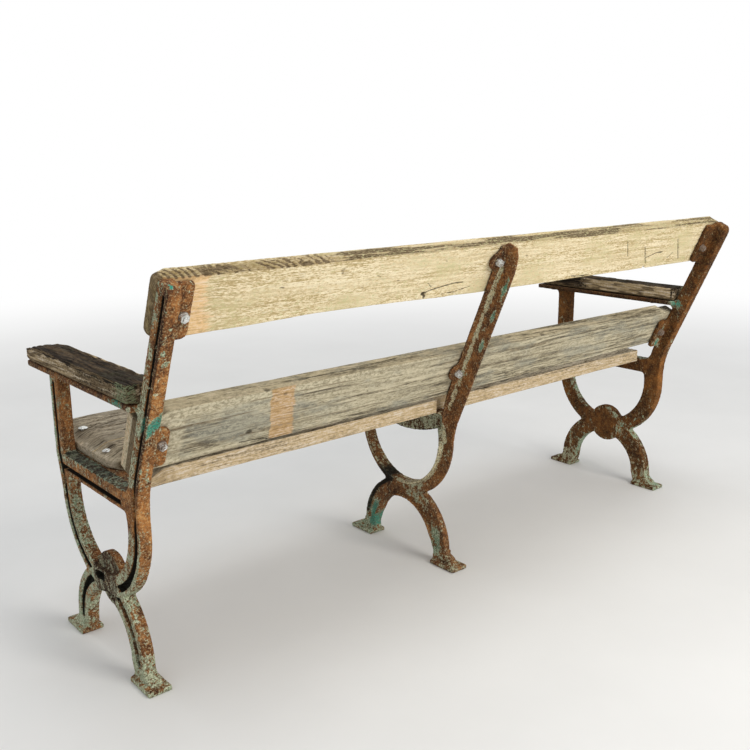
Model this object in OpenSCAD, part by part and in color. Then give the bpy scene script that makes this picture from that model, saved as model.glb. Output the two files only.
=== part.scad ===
// Garden bench: three cast iron frames carrying five timber boards.
// Millimetres. X runs along the bench, the sitter faces -Y, Z is up.
// The origin is on the floor, under the middle of the overall box.
// The sitter's left hand is at +X.

/* [Overall] */
// Length of the back slats, end to end
bench_length = 1830; // [1500:10:2100]
// Height of the top of the seat above the floor
seat_height = 470; // [440:5:500]
// Lean of the back from upright, in degrees
back_lean = 24; // [18:1:27]
// Length of the straight leaning part of each upright
back_length = 424; // [400:4:480]
// Distance of the middle frame from the centre of the bench
middle_offset = 24; // [-40:2:60]

/* [Frames] */
// Width of an end frame across its outline
frame_width = 30; // [26:1:40]
// Thickness of the web left behind the channel
web_thickness = 10; // [8:0.5:14]
// Inner radius of the round loop under the seat
loop_radius = 150; // [140:2:156]
// Outer radius of the round loop
loop_outer = 198; // [192:1:204]
// Depth of the leaning upright, front to back
upright_depth = 43; // [38:1:50]
// Radius of the bend where the upright starts to lean
bend_radius = 230; // [200:5:280]
// Width of the cast leg, across the arch
leg_depth = 56; // [48:1:62]
// Height of the seat bearer
bearer_height = 46; // [40:1:54]
// Radius of the round boss where loop and arch cross
hub_radius = 61; // [56:1:66]
// Width of the middle frame's flange
flange_width = 36; // [32:1:48]
// Thickness of the middle frame's stem
stem_thickness = 10; // [8:0.5:12]

/* [Arms] */
// Height of the top of the arm plate above the seat
arm_rise = 164; // [150:2:190]
// How far the arm plate runs forward of the origin of the loop
arm_reach = 298; // [270:2:320]
// Width of the arm plate
arm_plate_width = 70; // [56:2:80]
// Thickness of the arm plate
arm_plate_thickness = 14; // [10:1:16]
// Thickness of the arm board
arm_board_thickness = 41; // [30:1:46]
// Width of the arm board
arm_board_width = 72; // [64:1:84]

/* [Boards] */
// Thickness of the back slats and seat planks
board_thickness = 38; // [32:1:44]
// Height of the top slat, along the slope
top_slat_height = 131; // [110:1:140]
// How far the lower edge of the top slat is worn up, near its middle
slat_wear = 8; // [0:1:10]
// Width of the rear seat plank
rear_plank_width = 248; // [220:2:252]
// Width of the front seat plank
front_plank_width = 226; // [200:2:236]
// How far the top of the seat is worn down at its left end
seat_wear = 22; // [14:1:24]

/* [Fasteners] */
// Diameter of the coach bolts
bolt_diameter = 10; // [8:0.5:12]
// Gap between a bolt and its hole, all round
bolt_clearance = 0.5; // [0.3:0.1:0.8]

/* [Shown] */
// Part to draw, or all of them

/* [Hidden] */
$fn = 64;

iron = [0.36, 0.24, 0.17];
timber = [0.72, 0.62, 0.45];
old_timber = [0.30, 0.24, 0.19];
zinc = [0.70, 0.72, 0.74];

half = bench_length / 2;
inner = half - frame_width;
web_x = inner + web_thickness;
frame_x = half - frame_width / 2;

// Heights and centres in the plane of a frame. The first number is Y, the second Z.
bearer_top = seat_height - board_thickness;
bearer_low = bearer_top - bearer_height;
loop_z = bearer_low - 34;
loop_shift = -6;
crossing = 53;
arch_z = 36;
arch_outer = loop_z - loop_outer + crossing - arch_z;
arch_inner = arch_outer - leg_depth;
foot_y = arch_outer - 1;
hub_y = 6;
hub_in = 4;
hub_width = 22;
hub_knob = 9;
wide = 600;
hub_z = loop_z - loop_outer + 33;

// Leaning upright: it bends round bend_y, bearer_low, then runs straight from start_y, start_z.
bend_y = loop_outer + bend_radius;
front_radius = bend_radius + upright_depth;
start_y = bend_y - front_radius * cos(back_lean);
start_z = bearer_low + front_radius * sin(back_lean);
groove_deep = frame_width - web_thickness;
rib = 12;

// Front post and arm.
post_front = -loop_outer - 21;
post_back = post_front + 49;
arm_top = seat_height + arm_rise;
arm_low = arm_top - arm_plate_thickness;
arm_mid = (arm_low + arm_top) / 2;

// Boards.
lower_low_left = -28;
lower_low_right = -2;
lower_top_left = 119;
lower_top_right = 118;
lower_end_top = (arm_low - 8 - start_z - board_thickness * sin(back_lean)) / cos(back_lean);
top_slat_low = back_length - 2 - top_slat_height;
rear_plank_back = 163;
rear_plank_far = 147;
rear_plank_front = rear_plank_back - rear_plank_width;
seat_end = inner - 3;
seat_break = inner - 35;
seat_far = inner - 45;
worn_from = inner - 45;
mid_notch = 132;
mid_notch_half = 32;
front_plank_back = rear_plank_front - 3;
front_plank_front = front_plank_back - front_plank_width;

// Middle frame.
stem_back = upright_depth + 12;
mid_outer = loop_outer - 13;
mid_bend = 190;
mid_line_y = bend_y - (bend_radius - 12) * cos(back_lean);
mid_line_z = bearer_low + (bend_radius - 12) * sin(back_lean);
mid_meet = mid_line_z - (mid_line_y - mid_outer) / tan(back_lean);
mid_bend_z = mid_meet - mid_bend * tan(back_lean / 2);
flange = 8;
mid_rim = 22;
top_ear = 24;
low_ear = 25;
ear_thickness = 10;
head_low = 62;
head_deep = 52;
head_round = 48;
head_end = back_length + 5;

// Bolts.
hole = bolt_diameter / 2 + bolt_clearance;
head_radius = bolt_diameter * 1.1;
head_height = 4;
washer_radius = bolt_diameter * 1.05;
washer_thickness = 2;
nut_radius = bolt_diameter * 0.98;
nut_height = bolt_diameter * 0.8;
lug = 12;
lug_step = 0.6;
lug_reach = 42;
upper_lug = 123;
lower_lug = 97;
lug_bolt_x = inner - 26;
ear_x = middle_offset + stem_thickness / 2 + bolt_diameter * 0.85 + 2;
top_bolt_s = top_slat_low + 54;
mid_top_bolt_s = back_length - 45;
low_bolt_s = 47;
mid_low_bolt_s = 60;
seat_flange = 8;
flange_in = inner - 60;
flange_front = -285;
flange_long = 400;
seat_ear_x = middle_offset + flange_width / 2 + 10;
seat_ear = 17;
front_bolt_x = inner - 40;
front_bolt_y = -221;
front_sink = 2;
rear_bolt_x = inner - 23;
rear_bolt_y = -52;
rear_sink = 12;
mid_rear_bolt_y = -10;
mid_front_bolt_y = -180;

// Whole bench moved so that the origin is under the middle of its box.
back_edge = start_y + head_round * cos(back_lean) + (head_end - 20) * sin(back_lean);
shift = -(back_edge + front_plank_front) / 2;

module centred() translate([0, shift, 0]) children();

// Extrude an outline drawn in Y and Z from x0 by w along X.
module slab(x0, w) translate([x0, 0, 0]) rotate([90, 0, 90]) linear_extrude(w) children();

// Work in the plane of the back: X along the bench, y behind the slats, z up the slope.
module on_back() translate([0, start_y, start_z]) rotate([-back_lean, 0, 0]) children();

// The same place as a point of the frame's outline: y behind the slats, s up the slope.
function on(y, s) = [start_y + y * cos(back_lean) + s * sin(back_lean),
    start_z - y * sin(back_lean) + s * cos(back_lean)];

// Extrude an outline drawn in X and the slope, from y0 by t behind the slats.
module plate_on_back(y0, t) on_back() translate([0, y0 + t, 0]) rotate([90, 0, 0])
    linear_extrude(t) children();

// Ring between two radii about a point in the frame's plane.
module ring(c, ri, ro) translate(c) difference() {
    circle(ro, $fn = 160);
    circle(ri, $fn = 160);
}

// Arc about c from level round to the lean of the upright. The second one runs back down.
steps = 16;
function turn(c, r, i) = c + r * [-cos(back_lean * i / steps), sin(back_lean * i / steps)];
function arc_up(c, r) = [for (i = [0:steps]) turn(c, r, i)];
function arc_down(c, r) = [for (i = [steps:-1:0]) turn(c, r, i)];
bend_c = [bend_y, bearer_low];

// Bent and leaning band between y0 and y1 behind the slats, ending at s with chamfered corners.
module leaning_band(y0, y1, s, c0, c1) polygon(concat(arc_up(bend_c, front_radius - y1),
    [on(y1, s - c1), on(y1 - c1 * 0.3, s - c1 * 0.3), on(y1 - c1, s), on(y0 + c0, s), on(y0, s - c0)],
    arc_down(bend_c, front_radius - y0)));

// Rectangle with chosen corner radii: low left, low right, top right, top left.
module soft_rect(w, h, r) union() {
    translate([max(r[0], r[3]), 0]) square([w - max(r[0], r[3]) - max(r[1], r[2]), h]);
    translate([0, r[0]]) square([max(r[0], r[3]) + 0.01, h - r[0] - r[3]]);
    translate([w - max(r[1], r[2]) - 0.01, r[1]]) square([max(r[1], r[2]) + 0.01, h - r[1] - r[2]]);
    if (r[0] > 0) translate([r[0], r[0]]) circle(r[0]);
    if (r[1] > 0) translate([w - r[1], r[1]]) circle(r[1]);
    if (r[2] > 0) translate([w - r[2], h - r[2]]) circle(r[2]);
    if (r[3] > 0) translate([r[3], h - r[3]]) circle(r[3]);
    if (r[0] < r[3]) translate([r[0], 0]) square([r[3] - r[0], r[3]]);
    if (r[3] < r[0]) translate([r[3], h - r[0]]) square([r[0] - r[3], r[0]]);
    if (r[1] < r[2]) translate([w - r[2], 0]) square([r[2] - r[1], r[2]]);
    if (r[2] < r[1]) translate([w - r[1], h - r[1]]) square([r[1] - r[2], r[1]]);
}

// Everything above a level in the frame's plane, and everything below it.
module above(z) translate([-wide / 2, z]) square([wide, wide]);
module below(z) translate([-wide / 2, z - wide]) square([wide, wide]);

// Concave corner filling. Corner at the origin, arms of length r along u and v quadrants.
module fillet(p, r, sx, sy) translate(p) scale([sx, sy]) difference() {
    translate([-0.5, -0.5]) square(r + 0.5);
    translate([r, r]) circle(r);
}

// Opening inside the loop, with rounded upper corners under the bearer.
corner = 10;
corner_reach = sqrt(pow(loop_radius - corner, 2) - pow(bearer_low - corner - loop_z, 2));
corner_tip = loop_z + loop_radius * (bearer_low - corner - loop_z) / (loop_radius - corner);
module loop_opening() {
    intersection() {
        translate([loop_shift, loop_z]) circle(loop_radius, $fn = 160);
        below(corner_tip);
    }
    translate([loop_shift - corner_reach, loop_z]) square([2 * corner_reach, bearer_low - loop_z]);
    for (s = [-1, 1]) translate([loop_shift + s * corner_reach, bearer_low - corner]) circle(corner);
}

// Foot: the leg runs down into the pad with a flare on its outer side.
module foot_2d() for (s = [-1, 1]) scale([s, 1]) {
    polygon([[arch_inner, arch_z + 1], [arch_outer, arch_z + 1], [arch_outer + 4, arch_z - 6],
        [arch_outer + 13, 24], [arch_outer + 27, 13], [arch_outer + 27, 0],
        [arch_inner + 9, 0], [arch_inner + 8, 14], [arch_inner + 3, 28]]);
}

module arch_2d() {
    intersection() {
        ring([0, arch_z], arch_inner, arch_outer);
        above(arch_z);
    }
    foot_2d();
}

// Front edge of the post: it eases from the loop to the upright post.
post_ease = [for (t = [0:0.1:1]) [-loop_outer - 21 * t * t * (3 - 2 * t), loop_z - 14 + 100 * t]];

module frame_outline() {
    difference() {
        union() {
            intersection() {
                translate([0, loop_z]) circle(loop_outer, $fn = 160);
                below(loop_z);
            }
            translate([-loop_outer + 0.4, loop_z - 1])
                square([2 * loop_outer - 0.4, bearer_low - loop_z + 1]);
            translate([post_back - 1, bearer_low - 1])
                square([bend_y - front_radius + 6 - post_back, bearer_height + 1]);
            polygon(concat(post_ease, [[post_front, arm_low + 1], [post_back, arm_low + 1],
                [post_back, loop_z - 14]]));
        }
        loop_opening();
    }
    arch_2d();
    polygon(concat(arc_up(bend_c, bend_radius),
        [for (a = [0:15:90]) on(upright_depth - 18 + 18 * cos(a), back_length - 18 + 18 * sin(a))],
        [for (a = [0:30:90]) on(5 - 5 * sin(a), back_length - 5 + 5 * cos(a))],
        arc_down(bend_c, front_radius)));
    // Fillets at the bearer, under the arm and at the front of the post.
    fillet([post_back, bearer_top], 12, 1, 1);
    fillet([bend_y - sqrt(pow(front_radius, 2) - pow(bearer_height + 30, 2)), bearer_top], 32, -1, 1);
    fillet([post_back, arm_low], 14, 1, -1);
    fillet([post_front, arm_low], 16, -1, -1);
    fillet([start_y + (arm_low - 6 - start_z) * tan(back_lean), arm_low], 22, -1, -1);
}

// Channel cut into the outer side of an end frame.
module frame_channel() {
    // Loop, up the upright and up the post.
    difference() {
        union() {
            difference() {
                translate([0, loop_z]) circle(loop_outer - rib, $fn = 160);
                translate([0, loop_z]) circle(loop_outer - rib - 15.5, $fn = 160);
                above(loop_z);
            }
            polygon([[loop_outer - rib - 15.5, loop_z - 1], [loop_outer - rib, loop_z - 1],
                [loop_outer - rib, bearer_low + 0.5], [loop_outer - rib - 10, bearer_low + 0.5]]);
            polygon(concat([[-loop_outer + rib, loop_z - 1]],
                [for (p = post_ease) if (p[1] > loop_z + 2) [p[0] + rib, p[1]]],
                [[post_front + rib, arm_low - 22], [post_front + rib + 15, arm_low - 22],
                [post_front + rib + 15, loop_z + 86], [-loop_outer + rib + 15.5, loop_z - 1]]));
        }
        translate([0, arch_z]) circle(arch_outer - 3, $fn = 160);
    }
    leaning_band(upright_depth - rib - 10, upright_depth - rib, back_length - 20, 4, 4);
    // Bearer.
    translate([post_back - 22, bearer_low + 8]) square([bend_y - front_radius - 12 - post_back, 12]);
    // Legs.
    difference() {
        intersection() {
            ring([0, arch_z], arch_inner + 21, arch_outer - 18);
            above(arch_z);
        }
        translate([0, loop_z]) circle(loop_outer - 1, $fn = 160);
    }
    for (s = [-1, 1]) scale([s, 1]) translate([arch_inner + 21, arch_z - 2]) square([leg_depth - 39, 3]);
}

// Pockets between the ribs where the loop crosses the arch.
module crossing_pockets() {
    intersection() {
        ring([0, arch_z], arch_outer - 27, arch_outer - 9);
        translate([-46, hub_z - 12]) square([48, 60]);
        translate([0, loop_z]) circle(loop_outer - rib, $fn = 160);
    }
    difference() {
        translate([hub_y, hub_z]) circle(hub_radius - 8, $fn = 96);
        translate([0, loop_z]) circle(loop_outer - 5, $fn = 160);
        translate([-wide - 8, 0]) square([wide, wide]);
        translate([48, 0]) square([wide, wide]);
    }
}

module bolt_hole_on_back(x, s, r, y0, y1) on_back() translate([x, y0, s])
    rotate([-90, 0, 0]) cylinder(r = r, h = y1 - y0);

module end_frame() {
    difference() {
        union() {
            slab(inner, frame_width) frame_outline();
            // Round boss through the crossing, a little proud inside and sunk outside.
            slab(inner - hub_in, hub_width) translate([hub_y, hub_z]) circle(hub_radius, $fn = 96);
            slab(inner - hub_in - 4, 6) translate([hub_y - 2, hub_z + 19]) circle(hub_knob);
            // Foot pads.
            for (s = [-1, 1]) translate([frame_x, s * foot_y, 0])
                linear_extrude(12) translate([-27.5, -46]) soft_rect(55, 92, [4, 4, 4, 4]);
            // Arm plate.
            translate([frame_x - arm_plate_width / 2, -arm_reach, arm_low])
                linear_extrude(arm_plate_thickness) soft_rect(arm_plate_width, arm_reach + start_y + (arm_mid - start_z) * tan(back_lean) + 4,
                [10, 10, 0, 0]);
            // Lugs for the two back slats.
            plate_on_back(0, lug) translate([inner - lug_reach, top_slat_low + 2])
                soft_rect(lug_reach + 4, upper_lug, [15, 0, 0, 8]);
            plate_on_back(lug_step, lug) translate([inner - lug_reach - 2, -10])
                soft_rect(lug_reach + 6, lower_lug, [10, 0, 0, 18]);
            // Seat flange, hidden under the planks.
            translate([flange_in, flange_front, bearer_top - seat_flange]) linear_extrude(seat_flange)
                soft_rect(inner - flange_in + 2, flange_long, [12, 0, 0, 12]);
        }
        slab(web_x, groove_deep + 1) frame_channel();
        slab(web_x, groove_deep + 1) crossing_pockets();
        bolt_hole_on_back(lug_bolt_x, top_bolt_s, hole, -1, lug + 1);
        bolt_hole_on_back(lug_bolt_x, low_bolt_s, hole, -1, lug + 2);
        translate([front_bolt_x, front_bolt_y, bearer_top - seat_flange - 1]) cylinder(r = hole, h = 20);
        translate([rear_bolt_x, rear_bolt_y, bearer_top - seat_flange - 1]) cylinder(r = hole, h = 20);
        for (y = arm_screw_y) translate([frame_x, y, arm_low - 1])
            cylinder(r = screw_radius + 0.5, h = arm_plate_thickness + 2);
    }
}

module end_frame_left() color(iron) centred() end_frame();
module end_frame_right() color(iron) centred() mirror([1, 0, 0]) end_frame();

// Outline of the middle frame's flange, which faces the slats and the loop's opening.
module middle_flange() {
    difference() {
        intersection() {
            translate([loop_shift, loop_z]) circle(loop_radius + flange, $fn = 160);
            below(bearer_low + 4);
        }
        translate([loop_shift, loop_z]) circle(loop_radius, $fn = 160);
    }
    translate([loop_shift - loop_radius - 40, bearer_top - flange])
        square([bend_y - front_radius - loop_shift + loop_radius + 46, flange]);
    intersection() {
        ring([0, arch_z], arch_inner, arch_inner + flange);
        above(arch_z);
    }
    leaning_band(0, flange, head_end - 8, 2, 1);
}

// Lower edge of the middle bearer, deepest at its centre.
belly = [for (t = [-1:0.1:1]) [loop_shift + 150 * t, bearer_low - 33 + 33 * t * t]];

module middle_stem() {
    difference() {
        union() {
            difference() {
                intersection() {
                    translate([0, loop_z]) circle(mid_outer, $fn = 160);
                    below(bearer_low);
                }
                loop_opening();
            }
            polygon([[-mid_outer, loop_z - 1], [mid_outer - 1, loop_z - 1], [mid_outer + 2, bearer_low],
                [mid_outer - 18, bearer_top - 1], [-mid_outer - 10, bearer_top - 1],
                [-mid_outer - 8, bearer_low]]);
        }
        difference() {
            loop_opening();
            polygon(concat(belly, [[loop_outer, bearer_top], [-loop_outer, bearer_top]]));
        }
    }
    intersection() {
        ring([0, arch_z], arch_inner + 2, arch_outer - 4);
        above(arch_z);
    }
    foot_2d();
    polygon(concat(arc_up([mid_outer + mid_bend, mid_bend_z], mid_bend),
        [on(stem_back, head_end - head_low), on(head_deep, head_end - 38), on(head_round, head_end - 20), on(37, head_end),
        on(8, head_end), on(1, head_end - 10)], arc_down(bend_c, front_radius - 1)));
}

// Half-round ear beside the stem for a bolt.
module ear(s, r) plate_on_back(lug_step, ear_thickness) {
    translate([ear_x, s]) circle(r);
    translate([middle_offset, s - r]) square([ear_x - middle_offset, 2 * r]);
}

module middle_frame() color(iron) centred() difference() {
    union() {
        slab(middle_offset - stem_thickness / 2, stem_thickness) middle_stem();
        slab(middle_offset - flange_width / 2, flange_width) middle_flange();
        // Rim along the outer side of the legs.
        slab(middle_offset - mid_rim / 2, mid_rim) difference() {
            intersection() {
                ring([0, arch_z], arch_outer - 10, arch_outer - 3);
                above(arch_z);
            }
            translate([0, loop_z]) circle(mid_outer - 1, $fn = 160);
        }
        for (s = [-1, 1]) translate([middle_offset, s * foot_y, 0])
            linear_extrude(12) translate([-27.5, -46]) soft_rect(55, 92, [4, 4, 4, 4]);
        // Leg widens into the pad.
        slab(middle_offset - 14, 28) difference() {
            foot_2d();
            above(26);
        }
        ear(mid_top_bolt_s, top_ear);
        ear(mid_low_bolt_s, low_ear);
        for (y = [mid_front_bolt_y, mid_rear_bolt_y]) translate([0, y, bearer_top - seat_flange])
            linear_extrude(seat_flange) {
                translate([seat_ear_x, 0]) circle(seat_ear);
                translate([middle_offset, -seat_ear]) square([seat_ear_x - middle_offset, 2 * seat_ear]);
            }
    }
    bolt_hole_on_back(ear_x, mid_top_bolt_s, hole, -1, ear_thickness + 2);
    bolt_hole_on_back(ear_x, mid_low_bolt_s, hole, -1, ear_thickness + 2);
    for (y = [mid_front_bolt_y, mid_rear_bolt_y]) translate([seat_ear_x, y, bearer_top - seat_flange - 1])
        cylinder(r = hole, h = 20);
}

// Back slats: outline in X and the slope, extruded forward of the uprights.
// The lower edge of the top slat is worn up in a long shallow hollow.
hollow_mid = 0.25 * bench_length;
hollow_half = 0.22 * bench_length;
hollow = [for (t = [-1:0.125:1]) [hollow_mid + hollow_half * t, slat_wear * pow(cos(90 * t), 2)]];

module top_back_slat() color(timber) centred() difference() {
    plate_on_back(-board_thickness, board_thickness) translate([0, top_slat_low]) difference() {
        translate([-half, 0]) soft_rect(bench_length, top_slat_height, [6, 6, 4, 4]);
        polygon(concat(hollow, [[hollow_mid + hollow_half, -1], [hollow_mid - hollow_half, -1]]));
    }
    for (s = [-1, 1]) bolt_hole_on_back(s * lug_bolt_x, top_bolt_s, hole, -board_thickness - 1, 1);
    bolt_hole_on_back(ear_x, mid_top_bolt_s, hole, -board_thickness - 1, 1);
}

module lower_back_slat() color(timber) centred() difference() {
    plate_on_back(-board_thickness, board_thickness)
        polygon([[half, lower_low_left], [half, lower_end_top], [inner - 26, lower_end_top],
            [inner - 38, lower_top_left], [-inner + 50, lower_top_right], [-inner + 26, lower_end_top],
            [-half, lower_end_top], [-half, lower_low_right]]);
    for (s = [-1, 1]) bolt_hole_on_back(s * lug_bolt_x, low_bolt_s, hole, -board_thickness - 1, 1);
    bolt_hole_on_back(ear_x, mid_low_bolt_s, hole, -board_thickness - 1, 1);
}

// The left end of the seat is worn down, and the rear plank's corners are broken away there.
module seat_worn() translate([0, rear_plank_back + 1, 0]) rotate([90, 0, 0])
    linear_extrude(rear_plank_back - front_plank_front + 2)
        polygon([[worn_from, seat_height], [seat_end + 1, seat_height - seat_wear],
            [seat_end + 1, seat_height + 1], [worn_from, seat_height + 1]]);

// Hole for a seat bolt, and the flat seat cut for its head.
module seat_bolt_cut(p) {
    translate([p[0], p[1], bearer_top - 1]) cylinder(r = hole, h = board_thickness + 2);
    if (p[2] > 0) translate([p[0], p[1], seat_height - p[2]])
        cylinder(r = head_radius + 1.5, h = board_thickness);
}

module seat_plank_rear() color(timber) centred() difference() {
    translate([0, 0, bearer_top]) linear_extrude(board_thickness) difference() {
        polygon([[-seat_end, rear_plank_front], [seat_end, rear_plank_front], [seat_end, rear_bolt_y + 37],
            [seat_break, rear_bolt_y + 112], [seat_break - 4, rear_plank_back],
            [-seat_far, rear_plank_far], [-seat_far, rear_bolt_y + 160], [-seat_end, rear_bolt_y + 122]]);
        translate([middle_offset - mid_notch_half, mid_notch])
            square([2 * mid_notch_half, rear_plank_width]);
    }
    seat_worn();
    for (p = rear_stations) seat_bolt_cut(p);
}

module seat_plank_front() color(timber) centred() difference() {
    translate([-seat_end, front_plank_front, bearer_top]) linear_extrude(board_thickness)
        soft_rect(2 * seat_end, front_plank_width, [8, 8, 2, 2]);
    seat_worn();
    for (p = front_stations) seat_bolt_cut(p);
}

// Arm boards: worn thin at the front tip and rounded along the lower edges.
arm_board_back = start_y + (arm_top + 4 - start_z) * tan(back_lean) - 3;
arm_board_long = arm_board_back + arm_reach + 2;
module arm_board() difference() {
    translate([frame_x - arm_board_width / 2 + 4, -arm_reach - 2, 0]) intersection() {
        translate([0, 0, arm_top]) linear_extrude(arm_board_thickness)
            soft_rect(arm_board_width, arm_board_long, [14, 18, 3, 3]);
        slab(-1, arm_board_width + 2) translate([0, arm_top])
            polygon([[-1, 0], [-1, arm_board_thickness - 16], [30, arm_board_thickness - 7],
                [90, arm_board_thickness], [arm_board_long + 1, arm_board_thickness],
                [arm_board_long + 1, 0]]);
        translate([0, -1, arm_top]) rotate([-90, 0, 0]) linear_extrude(arm_board_long + 2)
            polygon([[8, 0], [0, -6], [0, -arm_board_thickness + 3], [3, -arm_board_thickness],
                [arm_board_width - 6, -arm_board_thickness],
                [arm_board_width, -arm_board_thickness + 8], [arm_board_width, -6],
                [arm_board_width - 8, 0]]);
    }
    for (y = arm_screw_y) translate([frame_x, y, arm_top - 1])
        cylinder(r = screw_radius + 0.1, h = screw_depth + 4);
}
module arm_board_left() color(old_timber) centred() arm_board();
module arm_board_right() color(old_timber) centred() mirror([1, 0, 0]) arm_board();

// Fasteners. A coach bolt has a domed head, a square neck and a round shank.
module coach_bolt(grip) {
    intersection() {
        cylinder(r = head_radius, h = head_height + 1);
        translate([0, 0, head_height - dome]) sphere(dome, $fn = 64);
    }
    translate([0, 0, -grip - washer_thickness - nut_height - 3])
        cylinder(r = bolt_diameter / 2, h = grip + washer_thickness + nut_height + 3.5);
}
dome = (pow(head_radius, 2) + pow(head_height, 2)) / (2 * head_height);

module washer() difference() {
    cylinder(r = washer_radius, h = washer_thickness);
    translate([0, 0, -1]) cylinder(r = bolt_diameter / 2 + 0.3, h = washer_thickness + 2);
}

module nut() difference() {
    cylinder(r = nut_radius, h = nut_height, $fn = 6);
    translate([0, 0, -1]) cylinder(r = bolt_diameter / 2 + 0.15, h = nut_height + 2);
}

// Stations of the bolts on the back: X, slope and thickness of iron behind the slat.
low_lug = lug + lug_step;
mid_ear = ear_thickness + lug_step;
top_stations = [[lug_bolt_x, top_bolt_s, lug], [-lug_bolt_x, top_bolt_s, lug],
    [ear_x, mid_top_bolt_s, mid_ear]];
low_stations = [[lug_bolt_x, low_bolt_s, low_lug], [-lug_bolt_x, low_bolt_s, low_lug],
    [ear_x, mid_low_bolt_s, mid_ear]];
// Stations on the seat: X, Y and how deep the head is sunk.
rear_stations = [[rear_bolt_x, rear_bolt_y, rear_sink], [-rear_bolt_x, rear_bolt_y, 0],
    [seat_ear_x, mid_rear_bolt_y, 0]];
front_stations = [[front_bolt_x, front_bolt_y, front_sink], [-front_bolt_x, front_bolt_y, 0],
    [seat_ear_x, mid_front_bolt_y, 0]];

// Put children with their z along the bolt, pointing out of the front of the slat.
module at_back(p, y) on_back() translate([p[0], y, p[1]]) rotate([90, 0, 0]) children();

module back_bolts(list) color(zinc) centred() for (p = list)
    at_back(p, -board_thickness) coach_bolt(board_thickness + p[2]);
module back_washers(list) color(zinc) centred() for (p = list)
    at_back(p, p[2] + washer_thickness) washer();
module back_nuts(list) color(zinc) centred() for (p = list)
    at_back(p, p[2] + washer_thickness + nut_height) rotate(30) nut();

module seat_bolts(list) color(zinc) centred() for (p = list)
    translate([p[0], p[1], seat_height - p[2]]) coach_bolt(board_thickness + seat_flange - p[2]);
module seat_washers(list) color(zinc) centred() for (p = list)
    translate([p[0], p[1], bearer_top - seat_flange - washer_thickness]) washer();
module seat_nuts(list) color(zinc) centred() for (p = list)
    translate([p[0], p[1], bearer_top - seat_flange - washer_thickness - nut_height]) nut();

module top_slat_bolts() back_bolts(top_stations);
module top_slat_washers() back_washers(top_stations);
module top_slat_nuts() back_nuts(top_stations);
module lower_slat_bolts() back_bolts(low_stations);
module lower_slat_washers() back_washers(low_stations);
module lower_slat_nuts() back_nuts(low_stations);
module seat_rear_bolts() seat_bolts(rear_stations);
module seat_rear_washers() seat_washers(rear_stations);
module seat_rear_nuts() seat_nuts(rear_stations);
module seat_front_bolts() seat_bolts(front_stations);
module seat_front_washers() seat_washers(front_stations);
module seat_front_nuts() seat_nuts(front_stations);

// Screws that hold the arm boards from below the plates.
screw_radius = 4;
screw_depth = 22;
arm_screw_y = [-250, 150];
module arm_screw() {
    translate([0, 0, -5]) cylinder(r = 8, h = 5);
    cylinder(r = screw_radius, h = arm_plate_thickness + screw_depth);
}
module arm_screws() color(zinc) centred() for (s = [-1, 1]) for (y = arm_screw_y)
    translate([s * frame_x, y, arm_low]) arm_screw();

end_frame_left();
end_frame_right();
middle_frame();
top_back_slat();
lower_back_slat();
seat_plank_rear();
seat_plank_front();
arm_board_left();
arm_board_right();
top_slat_bolts();
top_slat_washers();
top_slat_nuts();
lower_slat_bolts();
lower_slat_washers();
lower_slat_nuts();
seat_rear_bolts();
seat_rear_washers();
seat_rear_nuts();
seat_front_bolts();
seat_front_washers();
seat_front_nuts();
arm_screws();
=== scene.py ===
# %% [markdown]
# # A weathered garden bench with cast iron frames
# This script dresses a finished CAD bench. The CAD gives every size and place, and the cells
# below give each piece the surface that years outdoors leave: split and furrowed boards,
# rusty castings with flakes of old green paint, and dull zinc bolts.
# Everything is in metres. X runs along the bench, the sitter looks towards -Y, and Z is up.

# %% Load the bench
import math

import bmesh
import bpy
import numpy as np
from mathutils import Matrix, Vector


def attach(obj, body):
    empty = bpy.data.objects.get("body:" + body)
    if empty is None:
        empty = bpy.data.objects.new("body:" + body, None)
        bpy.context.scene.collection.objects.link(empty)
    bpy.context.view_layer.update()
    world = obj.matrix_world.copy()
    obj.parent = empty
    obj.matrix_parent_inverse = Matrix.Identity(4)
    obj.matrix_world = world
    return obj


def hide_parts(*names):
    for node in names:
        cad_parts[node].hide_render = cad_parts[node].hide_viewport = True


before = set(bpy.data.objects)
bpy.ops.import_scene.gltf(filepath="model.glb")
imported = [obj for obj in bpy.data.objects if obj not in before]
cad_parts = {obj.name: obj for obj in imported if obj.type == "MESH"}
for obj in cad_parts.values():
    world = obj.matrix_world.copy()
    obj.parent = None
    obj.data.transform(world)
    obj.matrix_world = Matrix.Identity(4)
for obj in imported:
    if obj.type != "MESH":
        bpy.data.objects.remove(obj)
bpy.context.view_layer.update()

# %% [markdown]
# ## Planes of the bench
# The back leans by 24 degrees, so its boards are easiest to shape in a tilted set of axes:
# x along the bench, b straight back from the slats, and s up the slope. One function turns
# such numbers into real places, and another turns places on the castings back into b and s.

# %% Tilted axes of the back
LEAN = math.radians(24)
START = np.array([0.0, 0.14120, 0.49704])
BACK = np.array([0.0, math.cos(LEAN), -math.sin(LEAN)])
SLOPE = np.array([0.0, math.sin(LEAN), math.cos(LEAN)])
MOVED = -0.0374  # the CAD is centred on its box, and drawings measure Y from the loops' centre
MIDDLE_X = 0.024  # where the middle casting stands


def on_back(q):
    """Places from (x, b, s): the start point, plus x along X, b along BACK and s along SLOPE."""
    return START + q[:, :1] * [1.0, 0.0, 0.0] + q[:, 1:2] * BACK + q[:, 2:3] * SLOPE


def on_seat(q):
    """Places from (x, y, z) with y measured from the loops' centre: only y moves."""
    return q + [0.0, MOVED, 0.0]


print("slats lean by", round(math.degrees(LEAN)), "degrees from", START.tolist())

# %% [markdown]
# ## The camera
# The photograph was taken from behind and to the left of a sitter, at standing height, with
# a normal lens. The camera is set from its place, a heading, a small downward tilt and half
# a degree of roll, written as three arrows: to the side, to the top and forward.

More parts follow.
